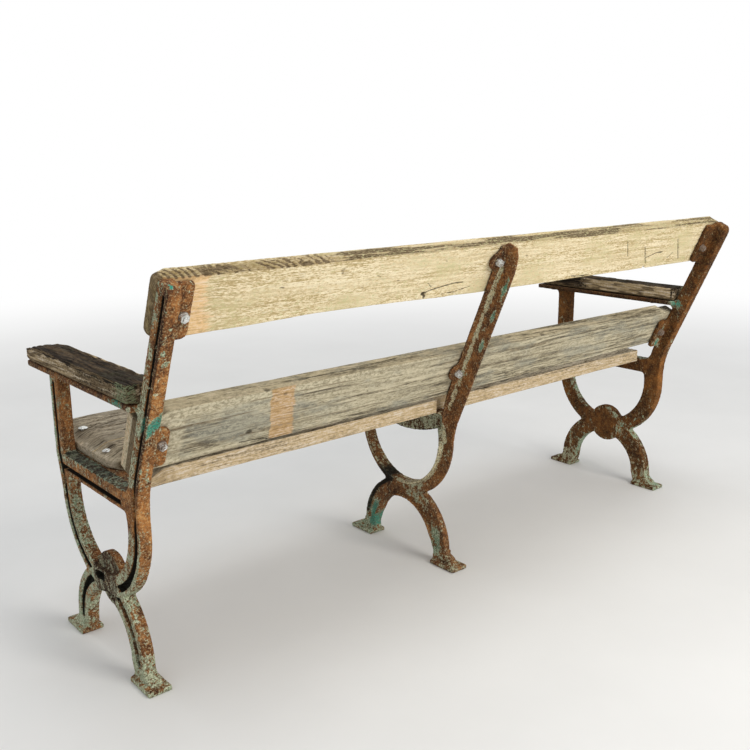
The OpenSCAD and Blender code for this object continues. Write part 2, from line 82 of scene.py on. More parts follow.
# %% Camera
EYE = (1.634547, 1.761335, 1.095529)
HEADING, TILT, ROLL = (math.radians(a) for a in (140.167582, 13.8164603, -0.490617))
LENS, SENSOR = 43.831, 36
level = math.cos(TILT)
ahead = Vector((-math.sin(HEADING) * level, math.cos(HEADING) * level, -math.sin(TILT)))
right = Vector((math.cos(HEADING), math.sin(HEADING), 0))
above = right.cross(ahead)
side = right * math.cos(ROLL) + above * math.sin(ROLL)
top = above * math.cos(ROLL) - right * math.sin(ROLL)
camera = bpy.data.objects.new("camera", bpy.data.cameras.new("camera"))
camera.data.lens = LENS
camera.data.sensor_width = camera.data.sensor_height = SENSOR
camera.data.sensor_fit = "HORIZONTAL"
camera.data.clip_start, camera.data.clip_end = 0.05, 60
turn = Matrix((side, top, -ahead)).transposed().to_4x4()
camera.matrix_world = Matrix.Translation(EYE) @ turn
bpy.context.scene.collection.objects.link(camera)
bpy.context.scene.camera = camera
print("lens", round(camera.data.lens, 2), "mm")

# %% [markdown]
# ## Writing materials
# A material is a chain of nodes. Two small classes keep the writing short: each method adds
# one node, joins its inputs and gives back its output, so that a finish reads like a recipe.

# %% Recipe classes
class Recipe:
    """The nodes of a material or of the world. Inputs may be numbers, colours or the outputs
    of other nodes."""

    def __init__(self, owner):
        owner.use_nodes = True
        self.tree = owner.node_tree
        self.tree.nodes.clear()

    def put(self, socket, value):
        """Joins an output to the socket, or writes a number or a colour into it."""
        if isinstance(value, bpy.types.NodeSocket):
            self.tree.links.new(value, socket)
        else:
            colour = socket.type == "RGBA" and len(value) == 3
            socket.default_value = (*value, 1.0) if colour else value

    def node(self, kind, inputs, **settings):
        """One new node: its settings are set, then its inputs are joined."""
        n = self.tree.nodes.new("ShaderNode" + kind)
        for key, value in settings.items():
            setattr(n, key, value)
        for key, value in inputs.items():
            self.put(n.inputs[key], value)
        return n

    def place(self, size=1):
        """Object coordinates, divided by one size in metres, or by three, one for each axis."""
        o = self.node("TexCoord", {}).outputs["Object"]
        return self.node("Mapping", {0: o, 3: tuple(1 / np.broadcast_to(size, 3))}).outputs[0]

    def attribute(self, name):
        """A number that the points of the mesh carry."""
        return self.node("Attribute", {}, attribute_name=name).outputs["Fac"]

    def math(self, how, a, b):
        """Two numbers, added, multiplied or the like."""
        return self.node("Math", {0: a, 1: b}, operation=how).outputs[0]

    def sum(self, *terms):
        """A sum. Each term is an output or a number, or a pair of one and its factor."""
        total = None
        for term in terms:
            term = self.math("MULTIPLY", *term) if isinstance(term, tuple) else term
            total = term if total is None else self.math("ADD", total, term)
        return total

    def noise(self, size, detail=3, roughness=0.55):
        """Noise with lumps of a size in metres. An output in its place is the noise's vector."""
        at = size if isinstance(size, bpy.types.NodeSocket) else self.place(size)
        return self.node("TexNoise", {"Vector": at, "Scale": 1.0, "Detail": detail,
                                      "Roughness": roughness}).outputs["Fac"]

    def range(self, value, low, high, to_low=0.0, to_high=1.0):
        """Numbers from low to high become to_low to to_high, with soft ends."""
        return self.node("MapRange", {0: value, 1: low, 2: high, 3: to_low, 4: to_high},
                         interpolation_type="SMOOTHSTEP").outputs[0]

    def share(self, value, low, high, most):
        """A soft step from 0 to most, used as the amount of a mix."""
        return self.range(value, low, high, 0.0, most)

    def ramp(self, value, *stops):
        """A colour for each number: stops are (place, colour)."""
        n = self.node("ValToRGB", {0: value})
        while len(n.color_ramp.elements) < len(stops):
            n.color_ramp.elements.new(0.5)
        for e, (at, colour) in zip(n.color_ramp.elements, stops):
            e.position, e.color = at, (*colour, 1)
        return n.outputs[0]

    def mix(self, amount, a, b, how="MIX"):
        """Colour a where the amount is 0, and colour b, or a times b, where it is 1."""
        n = self.node("Mix", {}, data_type="RGBA", blend_type=how)
        self.put(n.inputs[0], amount), self.put(n.inputs[6], a), self.put(n.inputs[7], b)
        return n.outputs[2]


class Finish(Recipe):
    """A material with one main shader."""

    def __init__(self, name):
        self.material = bpy.data.materials.new(name)
        super().__init__(self.material)
        self.shader = self.node("BsdfPrincipled", {})
        self.end = self.node("OutputMaterial", {0: self.shader.outputs[0]})

    def bump(self, height, depth):
        """Fine relief that only bends the light: a height of 1 stands depth metres proud."""
        n = self.node("Bump", {"Height": height, "Distance": depth, "Strength": 1.0})
        self.put(self.shader.inputs["Normal"], n.outputs[0])

    def done(self, colour, roughness, metallic=0.0, specular=0.3):
        """Joins colour and gloss to the shader, and gives back the material."""
        for socket, value in (("Base Color", colour), ("Roughness", roughness),
                              ("Metallic", metallic), ("Specular IOR Level", specular)):
            self.put(self.shader.inputs[socket], value)
        return self.material


print("recipe classes ready")

# %% [markdown]
# ## Light and floor
# A bright, even studio: a white surround, one large soft lamp behind the bench on the
# camera's right, a second one above, and a pale floor. Eyes and reflections see a pure white
# surround, while the light that reaches the bench is weaker, so that colours come out about
# as they are written.

# %% Light, surround and floor
scene = bpy.context.scene
scene.view_settings.view_transform = "Standard"
scene.world = bpy.data.worlds.new("surround")


def seen(f):
    """1 for rays that an eye, a reflection or glass sends out, 0 for rays that only light."""
    path = f.node("LightPath", {}).outputs
    last = f.math("MAXIMUM", path["Is Camera Ray"], path["Is Glossy Ray"])
    return f.math("MAXIMUM", last, path["Is Transmission Ray"])


surround = Recipe(scene.world)
soft = surround.node("Background", {0: (0.96, 0.98, 1.0), 1: 0.62})
white = surround.node("Background", {0: (1, 1, 1), 1: 1.0})
both = surround.node("MixShader", {0: seen(surround), 1: soft.outputs[0], 2: white.outputs[0]})
surround.node("OutputWorld", {0: both.outputs[0]})


def lamp(name, place, size, power, colour):
    """A square soft lamp at a place, turned so that it shines at the middle of the back."""
    data = bpy.data.lights.new(name, "AREA")
    data.shape, data.size, data.energy, data.color = "SQUARE", size, power, colour
    ob = bpy.data.objects.new(name, data)
    ob.location = place
    aim = Vector((0.0, 0.0, 0.5)) - Vector(place)
    ob.rotation_euler = aim.to_track_quat("-Z", "Y").to_euler()
    scene.collection.objects.link(ob)


lamp("key", (-0.6, 3.4, 2.6), 1.8, 78, (1.0, 0.97, 0.93))
lamp("sky", (0.2, -0.6, 4.0), 2.4, 40, (0.95, 0.98, 1.0))


def floor_finish():
    """Pale floor that fades to pure white from 1.6 to 5.5 m off, for eyes only."""
    f = Finish("pale_floor")
    pale = f.ramp(f.noise(0.5, 4), (0.3, (0.8, 0.79, 0.77)), (0.7, (0.84, 0.83, 0.81)))
    f.done(pale, 0.9, specular=0.1)
    far = f.node("VectorMath", {0: f.place()}, operation="LENGTH").outputs["Value"]
    glow = f.node("Emission", {0: (1, 1, 1), 1: 1.0})
    amount = f.math("MULTIPLY", f.range(far, 1.6, 5.5), seen(f))
    fade = f.node("MixShader", {0: amount, 1: f.shader.outputs[0], 2: glow.outputs[0]})
    f.tree.links.new(fade.outputs[0], f.end.inputs[0])
    return f.material


FAR = 20
corners = [(-FAR, -FAR, 0), (FAR, -FAR, 0), (FAR, FAR, 0), (-FAR, FAR, 0)]
ground = bpy.data.meshes.new("floor")
ground.from_pydata(corners, [], [(0, 1, 2, 3)])
ground.materials.append(floor_finish())
floor = bpy.data.objects.new("floor", ground)
scene.collection.objects.link(floor)

# %% [markdown]
# ## Unevenness from whole arrays
# Nothing outdoors stays even. The noise below gives every point of space a steady number: the
# eight corners of the small box around the point each get a fixed random value, and these are
# blended with a soft curve. Adding the same noise at half the size gives finer and finer
# detail. The other helpers are soft steps, soft spots and the distance to a line.

# %% Noise, steps and spots
def lattice(i, j, k, seed):
    """A steady number from 0 to 1 for each whole-number corner: multiply, mix the bits, and
    keep 16 of them."""
    h = (i * 374761393 + j * 668265263 + k * 1442695041 + seed * 974634777) & 0xFFFFFFFF
    h = ((h ^ (h >> 13)) * 1274126177) & 0xFFFFFFFF
    return ((h ^ (h >> 16)) & 0xFFFF) / 65535.0


def noise(p, size, seed=0):
    """Value noise: p / size is split into a whole number and a part t, and the values of the
    eight corners are blended by 3t^2 - 2t^3."""
    q = p / np.asarray(size, float)
    w = np.floor(q).astype(np.int64)
    t = q - w
    t = t * t * (3 - 2 * t)
    total = 0.0
    for corner in np.ndindex(2, 2, 2):
        a, b, c = (np.abs(1 - side - part) for side, part in zip(corner, t.T))
        total = total + a * b * c * lattice(*(w + corner).T, seed)
    return total


def rough(p, size, seed=0, times=3):
    """Noise at one size, half as much at half the size, and so on, brought back to 0 to 1."""
    size = np.asarray(size, float)
    parts = [noise(p, size / 2 ** k, seed + 17 * k) / 2 ** k for k in range(times)]
    return sum(parts) / sum(0.5 ** k for k in range(times))


def uneven(p, size, seed, middle, swing):
    """Rough noise about a middle value, swing wide."""
    return middle + swing * (rough(p, size, seed) - 0.5)


def ease(value, low, high):
    """0 below low, 1 above high, and 3t^2 - 2t^3 between them. It also runs backwards."""
    t = np.clip((value - low) / (high - low), 0, 1)
    return t * t * (3 - 2 * t)


def between(value, a, b, c, d):
    """0 below a, 1 from b to c, and 0 above d: a step up times a step down."""
    return ease(value, a, b) * ease(value, d, c)


def wave(turns):
    """A sine from 0 to 1 that comes back after each whole turn."""
    return 0.5 + 0.5 * np.sin(2 * math.pi * turns)


def spot(u, v, at, size, turn=0.0):
    """1 in the middle of a long soft spot and 0 outside it: the distance from a point,
    squeezed along two turned axes."""
    c, s = math.cos(turn), math.sin(turn)
    du, dv = u - at[0], v - at[1]
    return ease(np.hypot((du * c + dv * s) / size[0], (dv * c - du * s) / size[1]), 1.0, 0.35)


def along(u, v, points):
    """Distance to a broken line: the shortest of the distances to its straight parts."""
    best = np.full(len(u), 1e9)
    for (x0, y0), (x1, y1) in zip(points, points[1:]):
        length = (x1 - x0) ** 2 + (y1 - y0) ** 2
        t = np.clip(((u - x0) * (x1 - x0) + (v - y0) * (y1 - y0)) / length, 0, 1)
        best = np.minimum(best, np.hypot(u - x0 - t * (x1 - x0), v - y0 - t * (y1 - y0)))
    return best


print("noise of one place:", round(float(noise(np.array([[0.1, 0.2, 0.3]]), 0.05)[0]), 4))

# %% [markdown]
# ## A board as one skin
# A board could be a box with bevels, but worn wood is round in one place and crisp in the
# next. Here a board is six grids, one for each face, whose shared edges are welded. Each grid
# point is a function of two numbers, and its place is then pushed in: round the edges by a
# radius that changes along the board, and down into furrows, checks and knots. Every point
# also keeps a few numbers, its marks, which guide the colour.

# %% Board surface
class Marks(dict):
    """Named numbers of all points. add(where, name=amount) raises one or more of them."""

    def add(self, where, **amounts):
        """Each named number grows by its amount times where, which runs from 0 to 1."""
        for name, amount in amounts.items():
            self[name] = self[name] + where * amount

    def write(self, mesh):
        """Every number becomes an attribute of the mesh's points, which a material can read."""
        for name, values in self.items():
            layer = mesh.attributes.new(name, "FLOAT", "POINT")
            layer.data.foreach_set("value", values.astype(np.float32))


def stations(low, high, step, edge=0.004):
    """Places from low to high: three close to each end, and the rest a step apart."""
    count = max(2, int(round((high - low) / step)))
    close = edge * np.array([0, 0.2, 0.55])
    return np.concatenate([low + close, np.linspace(low + edge, high - edge, count),
                           high - close[::-1]])


def skin(*lines):
    """Six grids of a block, two for each axis, welded where they meet, with faces outward."""
    points, quads, start = [], [], 0
    for a in range(3):
        u, v = (a + 1) % 3, (a + 2) % 3
        grid = np.meshgrid(lines[u], lines[v], indexing="ij")
        n, m = grid[0].shape
        for side in (0, -1):
            p = np.empty((n, m, 3))
            p[..., u], p[..., v], p[..., a] = grid[0], grid[1], lines[a][side]
            i = start + np.arange(n * m).reshape(n, m)
            q = np.stack([i[:-1, :-1], i[1:, :-1], i[1:, 1:], i[:-1, 1:]], -1).reshape(-1, 4)
            points.append(p.reshape(-1, 3))
            quads.append(q if side else q[:, ::-1])
            start += n * m
    points = np.concatenate(points)
    _, first, back = np.unique(np.round(points * 1e6).astype(np.int64), axis=0,
                               return_index=True, return_inverse=True)
    return points[first], back.reshape(-1)[np.concatenate(quads)]


def rounded(p, low, high, radius):
    """Every point is moved to radius from the block's core, which is the block less radius
    all round. Gives the new points and the way out of the surface at each."""
    core = np.clip(p, low + radius[:, None], high - radius[:, None])
    out = p - core
    out /= np.maximum(np.linalg.norm(out, axis=1), 1e-9)[:, None]
    return core + out * radius[:, None], out


def hand_over(ob, node):
    """A new piece rides on the bench and stands for a CAD node, which is hidden."""
    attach(ob, "root")
    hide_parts(node)
    print(ob.name, len(ob.data.vertices), "points,", len(ob.data.polygons), "faces")


def surface(name, points, quads, marks, finish):
    """A mesh object from arrays of points and quads, with its marks."""
    mesh = bpy.data.meshes.new(name)
    mesh.vertices.add(len(points))
    mesh.vertices.foreach_set("co", points.astype(np.float32).ravel())
    mesh.loops.add(quads.size)
    mesh.loops.foreach_set("vertex_index", quads.astype(np.int32).ravel())
    mesh.polygons.add(len(quads))
    mesh.polygons.foreach_set("loop_start", np.arange(0, quads.size, 4, dtype=np.int32))
    mesh.update(calc_edges=True)
    mesh.shade_smooth()
    marks.write(mesh)
    mesh.materials.append(finish)
    ob = bpy.data.objects.new(name, mesh)
    scene.collection.objects.link(ob)
    return ob


print("faces of a plain block:", len(skin([0, 1], [0, 1], [0, 1])[1]))

# %% [markdown]
# ## How weather shapes a board
# Rain washes out the soft wood between the growth rings, so the rings stand proud as long
# furrows. The ring number of a point is its distance from the middle of the tree, which
# wanders slowly along the board. The same number later guides the colour, so that streaks
# and furrows run together, also round knots and over the cut ends.

# %% Weathered board
def weathered(name, node, finish, low, high, steps, pith, seed, place, wear,
              furrow=0.0009, spacing=0.007, round_by=(0.0025, 0.0045), run=0, tip=0.0):
    """One board, long in the direction run, cut from a tree whose middle is at pith. Its skin
    is rounded by an uneven radius, then sunk by furrows: a wave of the ring number, deeper
    where noise says so. tip adds to the radius at the high end. wear(q, out, marks) sets the
    marks and gives more depth, and place(p) gives each point its place in the bench."""
    low, high = np.array(low, float), np.array(high, float)
    q, quads = skin(*(stations(a, b, s) for a, b, s in zip(low, high, steps)))
    radius = round_by[0] + round_by[1] * rough(q, 0.07, seed) ** 2
    radius += tip * ease(q[:, run], high[run] - 0.034, high[run] - 0.012)
    p, out = rounded(q, low, high, radius)
    across, up = (q[:, i] for i in range(3) if i != run)
    slow = np.where(np.arange(3) == run, 0.55, 0.1)
    stretched = np.where(np.arange(3) == run, 0.125, 0.01)
    wander = uneven(q, slow, seed + 3, 0, 0.05)
    marks = Marks(run=q[:, run], across=across + 1.35 * up,
                  ring=np.hypot(across - pith[0] - wander, up - pith[1] + wander * 0.6))
    marks |= {key: np.zeros(len(q)) for key in ("dark", "brown", "dull", "fresh", "moss", "pale")}
    depth = wear(q, out, marks)
    ridges = wave(marks["ring"] / spacing) * 0.6 + rough(q, stretched, seed + 5) * 0.9
    depth = depth + furrow * ridges * (0.4 + rough(q, 0.15, seed + 7))
    marks["dark"] = np.clip(marks["dark"], 0, 1)
    ob = surface(name, place(p - out * depth[:, None]), quads, marks, finish)
    hand_over(ob, node)
    return ob


print("board maker ready")

# %% [markdown]
# ## Old timber
# The boards have lost their oil. Their colour is in long streaks that follow the rings, over it
# lie grey and straw coloured patches, and in damp places there are green and white specks of
# lichen. The recipe reads the ring number and the marks that the board maker left on the
# points, so no pattern runs straight across a knot.

# %% Timber recipe
def timber(name, dark, middle, light, grey, lichen, speck, contrast, new,
           parts=(0.45, 0.35, 0.2), fine=1.0):
    """Streaks from dark to light, patches of grey, specks of lichen, then brown stains, fresh
    wood, moss and cracks; the brown, dull and dark marks also carry painted shade, and the pale
    mark painted light, in a few places. new is the colour of fresh wood, parts are the shares of
    long, thin and short streaks, and fine scales the short ones."""
    f = Finish(name)
    run, ring, across = (f.attribute(a) for a in ("run", "ring", "across"))

    def fibre(length, width, detail, rough):
        """Noise drawn out along the board, and bent to follow the rings across it."""
        scaled = (f.math("DIVIDE", value, size) for value, size in
                  ((run, length), (ring, width), (across, width * 1.7)))
        vector = f.node("CombineXYZ", dict(enumerate(scaled))).outputs[0]
        return f.noise(vector, detail, rough)

    wide, thin = fibre(0.3, 0.011, 5, 0.62), fibre(0.055, 0.0032, 3, 0.7)
    short = fibre(0.016 * fine, 0.0034 * fine, 3, 0.75)
    patch = f.noise((0.14, 0.07, 0.07), 4, 0.62)
    fleck = f.noise((0.01, 0.0055, 0.0055), 3, 0.75)
    patchy = f.sum((wide, 0.9), (thin, 0.9), (fleck, 0.9), -1.35)
    streak = f.sum(*zip((wide, thin, short), parts))
    reach = 0.11 / contrast
    base = f.ramp(f.range(streak, 0.5 - reach, 0.5 + reach),
                  (0.0, dark), (0.42, middle), (1.0, light))
    base = f.mix(f.share(patch, 0.46, 0.64, 0.7), base, grey)
    # The pale mark lightens the wood; in a few places it is painted light.
    pale = f.mix(f.range(fleck, 0.4, 0.6), middle, light)
    base = f.mix(f.math("MULTIPLY", f.attribute("pale"), 0.8), base, pale)
    base = f.mix(f.share(f.sum(fleck, (patch, 0.5)), 0.8, 0.9, speck), base, lichen)
    base = f.mix(f.share(fleck, 0.4, 0.3, 0.55), base, dark)
    # Fresh wood, wet wood and brown stains; the dull and brown marks also carry painted shade.
    deep, bright = tuple(0.6 * c for c in new), tuple(0.35 + 0.65 * c for c in new)
    fresh = f.ramp(f.sum((thin, 0.6), (fleck, 0.4)), (0.38, deep), (0.5, new), (0.62, bright))
    base = f.mix(f.range(f.sum(f.attribute("fresh"), patchy), 0.25, 0.75), base, fresh)
    base = f.mix(f.attribute("dull"), base, (0.5, 0.45, 0.37), "MULTIPLY")
    stain = f.mix(f.range(short, 0.45, 0.55), (0.075, 0.05, 0.026), (0.19, 0.135, 0.075))
    stain_and_shade = f.sum(f.attribute("brown"), (patchy, 0.8))
    base = f.mix(f.share(stain_and_shade, 0.25, 0.7, 0.92), base, stain)
    # Moss and cracks lie over everything else; the dark mark also carries a little painted shade.
    moss = f.sum(f.attribute("moss"), (fleck, 1.6), (short, 1.6), -1.6)
    base = f.mix(f.range(moss, 0.4, 0.75), base, lichen)
    cracks_and_shade = f.sum(f.attribute("dark"), (thin, 0.7), -0.35)
    base = f.mix(f.share(cracks_and_shade, 0.25, 0.9, 0.88), base, (0.035, 0.026, 0.018))
    f.bump(f.sum((thin, 0.7), (wide, 0.6), (fleck, 0.25)), 0.0012)
    return f.done(base, f.range(streak, 0.3, 0.7, 0.92, 0.78), specular=0.08)


wood_top = timber("timber_top_slat", (0.46, 0.35, 0.17), (0.745, 0.595, 0.35),
                  (0.92, 0.81, 0.57), (0.68, 0.575, 0.33), (0.58, 0.54, 0.28), 0.6, 2.0,
                  (0.84, 0.57, 0.285), (0.2, 0.32, 0.48), 0.62)
wood_low = timber("timber_lower_slat", (0.11, 0.092, 0.065), (0.38, 0.33, 0.22),
                  (0.66, 0.59, 0.42), (0.255, 0.25, 0.205), (0.62, 0.58, 0.42), 0.35, 1.2,
                  (0.56, 0.365, 0.175))
SEAT_NEW, SEAT_PARTS = (0.56, 0.42, 0.24), (0.25, 0.35, 0.4)
wood_rear = timber("timber_seat_rear", (0.09, 0.07, 0.045), (0.31, 0.255, 0.175),
                   (0.52, 0.44, 0.32), (0.28, 0.24, 0.17), (0.5, 0.46, 0.33), 0.25, 1.4,
                   SEAT_NEW, SEAT_PARTS)
wood_front = timber("timber_seat_front", (0.08, 0.062, 0.042), (0.29, 0.24, 0.17),
                    (0.48, 0.41, 0.3), (0.26, 0.22, 0.16), (0.46, 0.43, 0.32), 0.2, 1.4,
                    SEAT_NEW, SEAT_PARTS)
wood_arm = timber("timber_arm_boards", (0.006, 0.004, 0.003), (0.02, 0.013, 0.008),
                  (0.088, 0.058, 0.032), (0.028, 0.02, 0.012), (0.2, 0.23, 0.13), 0.12, 1.3,
                  (0.45, 0.33, 0.18))
print("timber recipes:", [m.name for m in bpy.data.materials if m.name.startswith("timber")])

# %% [markdown]
# ## The top slat
# The top slat is a plank set on edge. Its top edge has weathered into oblique ridges like a
# rope for a third of its length, its left end is still tan where the frame kept it dry, and
# two knots have fallen out near the lower edge, with a long check running out of one.

# %% Top slat
SLAT_END, SLAT_THICK = 0.915, 0.038
TOP_S = 0.291, 0.422  # the least and the greatest s
HOLLOW_X, HOLLOW_HALF, HOLLOW_DEEP = 0.4575, 0.4026, 0.008
TOP_CHECKS = (  # width, then the points (x, s) of the line
    (0.003, (0.25, 0.306), (0.225, 0.3155), (0.19, 0.322), (0.15, 0.3275), (0.125, 0.327)),
    (0.0016, (0.24, 0.338), (0.226, 0.3255)),
    (0.0016, (0.185, 0.3015), (0.145, 0.3035), (0.095, 0.314)),
    (0.0028, (-0.607, 0.325), (-0.647, 0.337), (-0.681, 0.339)),
    (0.0026, (-0.717, 0.315), (-0.737, 0.331)),
    (0.0026, (-0.289, 0.3), (-0.31, 0.297), (-0.36, 0.2965)),
    (0.0028, (-0.73, 0.376), (-0.78, 0.309)),
    (0.0022, (-0.478, 0.389), (-0.51, 0.34)),
    (0.003, (-0.578, 0.362), (-0.615, 0.309)))
TOP_MOSS = (((0.58, 0.32), (0.26, 0.04), 0.28), ((0.3, 0.33), (0.16, 0.05), 0.22),
            ((0.72, 0.345), (0.06, 0.03), 0.1))  # place, size and amount
TOP_SPECKS = ((0.64, 0.372), (0.395, 0.372), (0.432, 0.348), (0.335, 0.355), (0.205, 0.392),
              (-0.07, 0.381))
TOP_KNOTS = (((0.244, 0.3075), (0.01, 0.0075), 0.006), ((0.2395, 0.2995), (0.005, 0.008), 0.004))


def wear_top(q, out, marks):
    """Marks and depth from soft spots and lines in x and s. Most are only on the side that
    looks back, behind."""
    x, b, s = q.T
    add, behind = marks.add, ease(out[:, 1], 0.2, 0.7)
    crest = ease(s + 0.2 * (b + 0.006) * ease(b, 0, -0.006), 0.4135, 0.4195)
    # Tan wood at the left end.
    slant = x - (s - 0.35) * 0.26 + uneven(q, (0.08, 0.02, 0.004), 16, 0, 0.03)
    add(ease(x, 0.0, -0.6), fresh=0.16)
    add(ease(slant, 0.775, 0.83) * behind, fresh=1)
    add(spot(x, s, (0.745, 0.355), (0.07, 0.09)) * behind, fresh=0.24)
    add(between(s, 0.404, 0.409, 0.415, 0.418) * ease(x, 0.8, 0.83) * behind, fresh=1)
    # Oblique ridges on the top edge. They are fine at the end, broad and ragged further along.
    wander = rough(q, (0.06, 0.02, 0.02), 4, 4)
    fine = wave(x / 0.0145 + b / 0.034 + wander * 1.6)
    bent = np.stack([x + 0.43 * b + 0.01 * wander, b, s], -1)
    broad = rough(bent, (0.014, 0.05, 0.05), 14) * 0.4 + rough(q, (0.07, 0.02, 0.02), 15, 4) * 0.4
    broad = ease(broad + wave(bent[:, 0] / 0.019 + 2.2 * wander) * 0.2, 0.4, 0.54)
    left, middle = ease(x, 0.8, 0.84), between(x, 0.5, 0.56, 0.8, 0.84)
    paler = 1 - 0.45 * spot(x, s, (0.723, 0.42), (0.045, 0.5))
    add(crest, dull=0.6 + 0.3 * middle + 0.3 * left, fresh=left * 0.1 + middle * 0.2)
    add(crest * left, brown=0.05 + 0.95 * ease(fine, 0.3, 0.8))
    add(crest * middle * paler, brown=0.2 + 0.8 * broad)
    # The rest of the top edge has long dark streaks.
    rest, grain = ease(x, 0.54, 0.48) * crest, rough(q, (0.13, 0.006, 0.006), 6)
    add(rest, brown=0.32 + 0.75 * ease(grain, 0.42, 0.56), moss=0.15)
    add(rest * ease(grain, 0.58, 0.7), dark=0.3)
    depth = crest * ((left * fine + middle * broad) * 0.0016 + 0.0008) + rest * 0.002 * grain
    # Faint moss, a brown blot and specks.
    for at, size, amount in TOP_MOSS:
        add(spot(x, s, at, size), moss=amount)
    add(ease(s, 0.385, 0.412) * ease(x, 0.66, 0.4), moss=0.2)
    blot = spot(x, s, (0.494, 0.393), (0.02, 0.014), 0.5) * behind
    add(blot, brown=0.15 + 0.6 * noise(q, 0.006, 9))
    for at in TOP_SPECKS:
        add(spot(x, s, at, (0.01, 0.004), 0.3) * behind, brown=0.5)
    # Two knots and the checks. The rings bend round the knots.
    for at, size, deep in TOP_KNOTS:
        hole = spot(x, s, at, size) * behind
        add(hole, dark=1.3)
        add(spot(x, s, at, (0.09, 0.028)), ring=0.01)
        depth += hole * deep
    add(spot(x, s, (0.232, 0.297), (0.03, 0.012)), pale=0.9)
    for width, *line in TOP_CHECKS:
        near = ease(along(x, s, line), width, width * 0.2) * behind
        add(near, dark=0.95)
        depth += near * width
    notch = spot(x, s, (-0.616, 0.2935), (0.008, 0.008))
    add(notch, dark=0.5)
    add(ease(rough(q, (0.02, 0.01, 0.0035), 19, 2), 0.64, 0.72) * behind, dark=0.35)
    # The left end is rounded over, grey and brown, and painted darker, a painted shade on the end
    # that faces away from the lamp.
    add(ease(x, 0.896, 0.909), brown=0.35 + 0.5 * rough(q, (0.1, 0.006, 0.02), 10))
    add(ease(x, 0.896, 0.912), dull=0.9)
    marks["fresh"] *= ease(x, 0.912, 0.9)
    add(ease(rough(q, (0.3, 0.05, 0.03), 12), 0.5, 0.65) * ease(x, 0.8, 0.6), pale=0.6)
    return depth + notch * 0.004


def place_top(p):
    """The lower edge is worn up in one long hollow, a cosine squared."""
    t = np.clip((p[:, 0] - HOLLOW_X) / HOLLOW_HALF, -1, 1)
    lift = HOLLOW_DEEP * np.cos(t * math.pi / 2) ** 2 * ease(p[:, 2], 0.34, TOP_S[0])
    return on_back(p + lift[:, None] * [0.0, 0.0, 1.0])


weathered("top_slat_timber", "top_back_slat", wood_top,
          (-SLAT_END, -SLAT_THICK, TOP_S[0]), (SLAT_END, 0, TOP_S[1]), (0.0033, 0.004, 0.0021),
          (-0.1, 0.3), 11, place_top, wear_top, tip=0.014)

# %% [markdown]
# ## The lower slat
# The lower slat tapers along its length and has its upper corners cut off where it passes
# under the arms. It is the greyest board, with long silver streaks and one orange patch
# where a splinter has come away.

# %% Lower slat
LOW_KNOTS = (((0.641, 0.012), (0.014, 0.01), 0.8), ((0.566, 0.098), (0.01, 0.008), 0.6),
             ((0.585, 0.08), (0.009, 0.007), 0.5), ((-0.147, 0.092), (0.05, 0.018), 0.35),
             ((-0.335, 0.015), (0.07, 0.02), 0.45))  # place, size and how dark
LOW_S = -0.028, 0.119  # the least and the greatest s
LOW_SPLIT = ((0.578, -0.027), (0.6, -0.018), (0.66, -0.014))


def wear_low(q, out, marks):
    """A ragged fresh patch, knots in the rear face and in the top edge, a split low down,
    pale and brown streaks, a clean top edge, pale ends, the right one also painted light that
    lifts the arm plate's shadow, and a cut end on the left that is pale, and dark brown towards
    the rear as a painted shadow of the casting."""
    x, b, s = q.T
    add, behind = marks.add, ease(out[:, 1], 0.2, 0.7)
    up, end = ease(out[:, 2], 0.5, 0.9), ease(out[:, 0], 0.4, 0.8)
    ragged = x + (uneven(q, 0.02, 21, 0, 0.012) + 0.17 * (0.118 - s))
    patch = between(ragged, 0.535, 0.555, 0.6, 0.612) * behind
    add(patch * ease(s, 0.128, 0.118), fresh=1)
    depth = patch * 0.0012
    for at, size, amount in LOW_KNOTS:
        hole = spot(x, s, at, size) * behind * amount
        add(hole, dark=1)
        add(spot(x, s, at, (size[0] * 3, size[1] * 2.4)), ring=0.006)
        depth += hole * 0.002
    for at in (0.614, -0.276):
        knob = spot(x, b, (at, -0.006), (0.015, 0.011)) * ease(s, 0.11, 0.114)
        add(knob, dark=0.7)
        depth += knob * 0.003
    split = ease(along(x, s, LOW_SPLIT), 0.003, 0.0005) * behind
    add(split, dark=1)
    add(behind * ease(x, 0.795, 0.812), pale=0.9)
    add(behind * ease(s, 0.085, 0.11) * between(x, 0.0, 0.1, 0.8, 0.85), pale=0.8)
    # Painted light: the right end is made pale where the arm plate casts its shadow.
    add(ease(x, -0.845, -0.86), pale=1)
    add(ease(rough(q, (0.35, 0.05, 0.02), 23), 0.55, 0.68), pale=0.7)
    add(ease(rough(q, (0.25, 0.02, 0.005), 25), 0.58, 0.68) * behind, brown=0.45)
    add(up, fresh=0.24, dull=0.6 * ease(x, -0.84, -0.8))
    # The cut end on the left is pale, and dark brown towards the rear, a painted shadow of the
    # casting.
    add(end, pale=1.2, fresh=0.45 * ease(b, -0.013, -0.019), brown=1.1 * ease(b, -0.019, -0.012))
    return depth + split * 0.003


def place_low(p):
    """s runs from the lower edge, which falls from -2 mm on the right to -28 mm on the left,
    to the upper edge at 118 mm. Past 0.859 the upper corners are cut down by 10 mm."""
    u = (p[:, 0] + SLAT_END) / (2 * SLAT_END)
    corner = 0.0096 * ease(np.abs(p[:, 0]), 0.845, 0.859)
    bottom, crest = -0.002 - 0.026 * u, 0.118 + 0.001 * u - corner
    s = bottom + (p[:, 2] - LOW_S[0]) / (LOW_S[1] - LOW_S[0]) * (crest - bottom)
    return on_back(np.stack([p[:, 0], p[:, 1], s], -1))


weathered("lower_slat_timber", "lower_back_slat", wood_low,
          (-SLAT_END, -SLAT_THICK, LOW_S[0]), (SLAT_END, 0, LOW_S[1]), (0.0036, 0.005, 0.0021),
          (-0.09, 0.02), 31, place_low, wear_low)

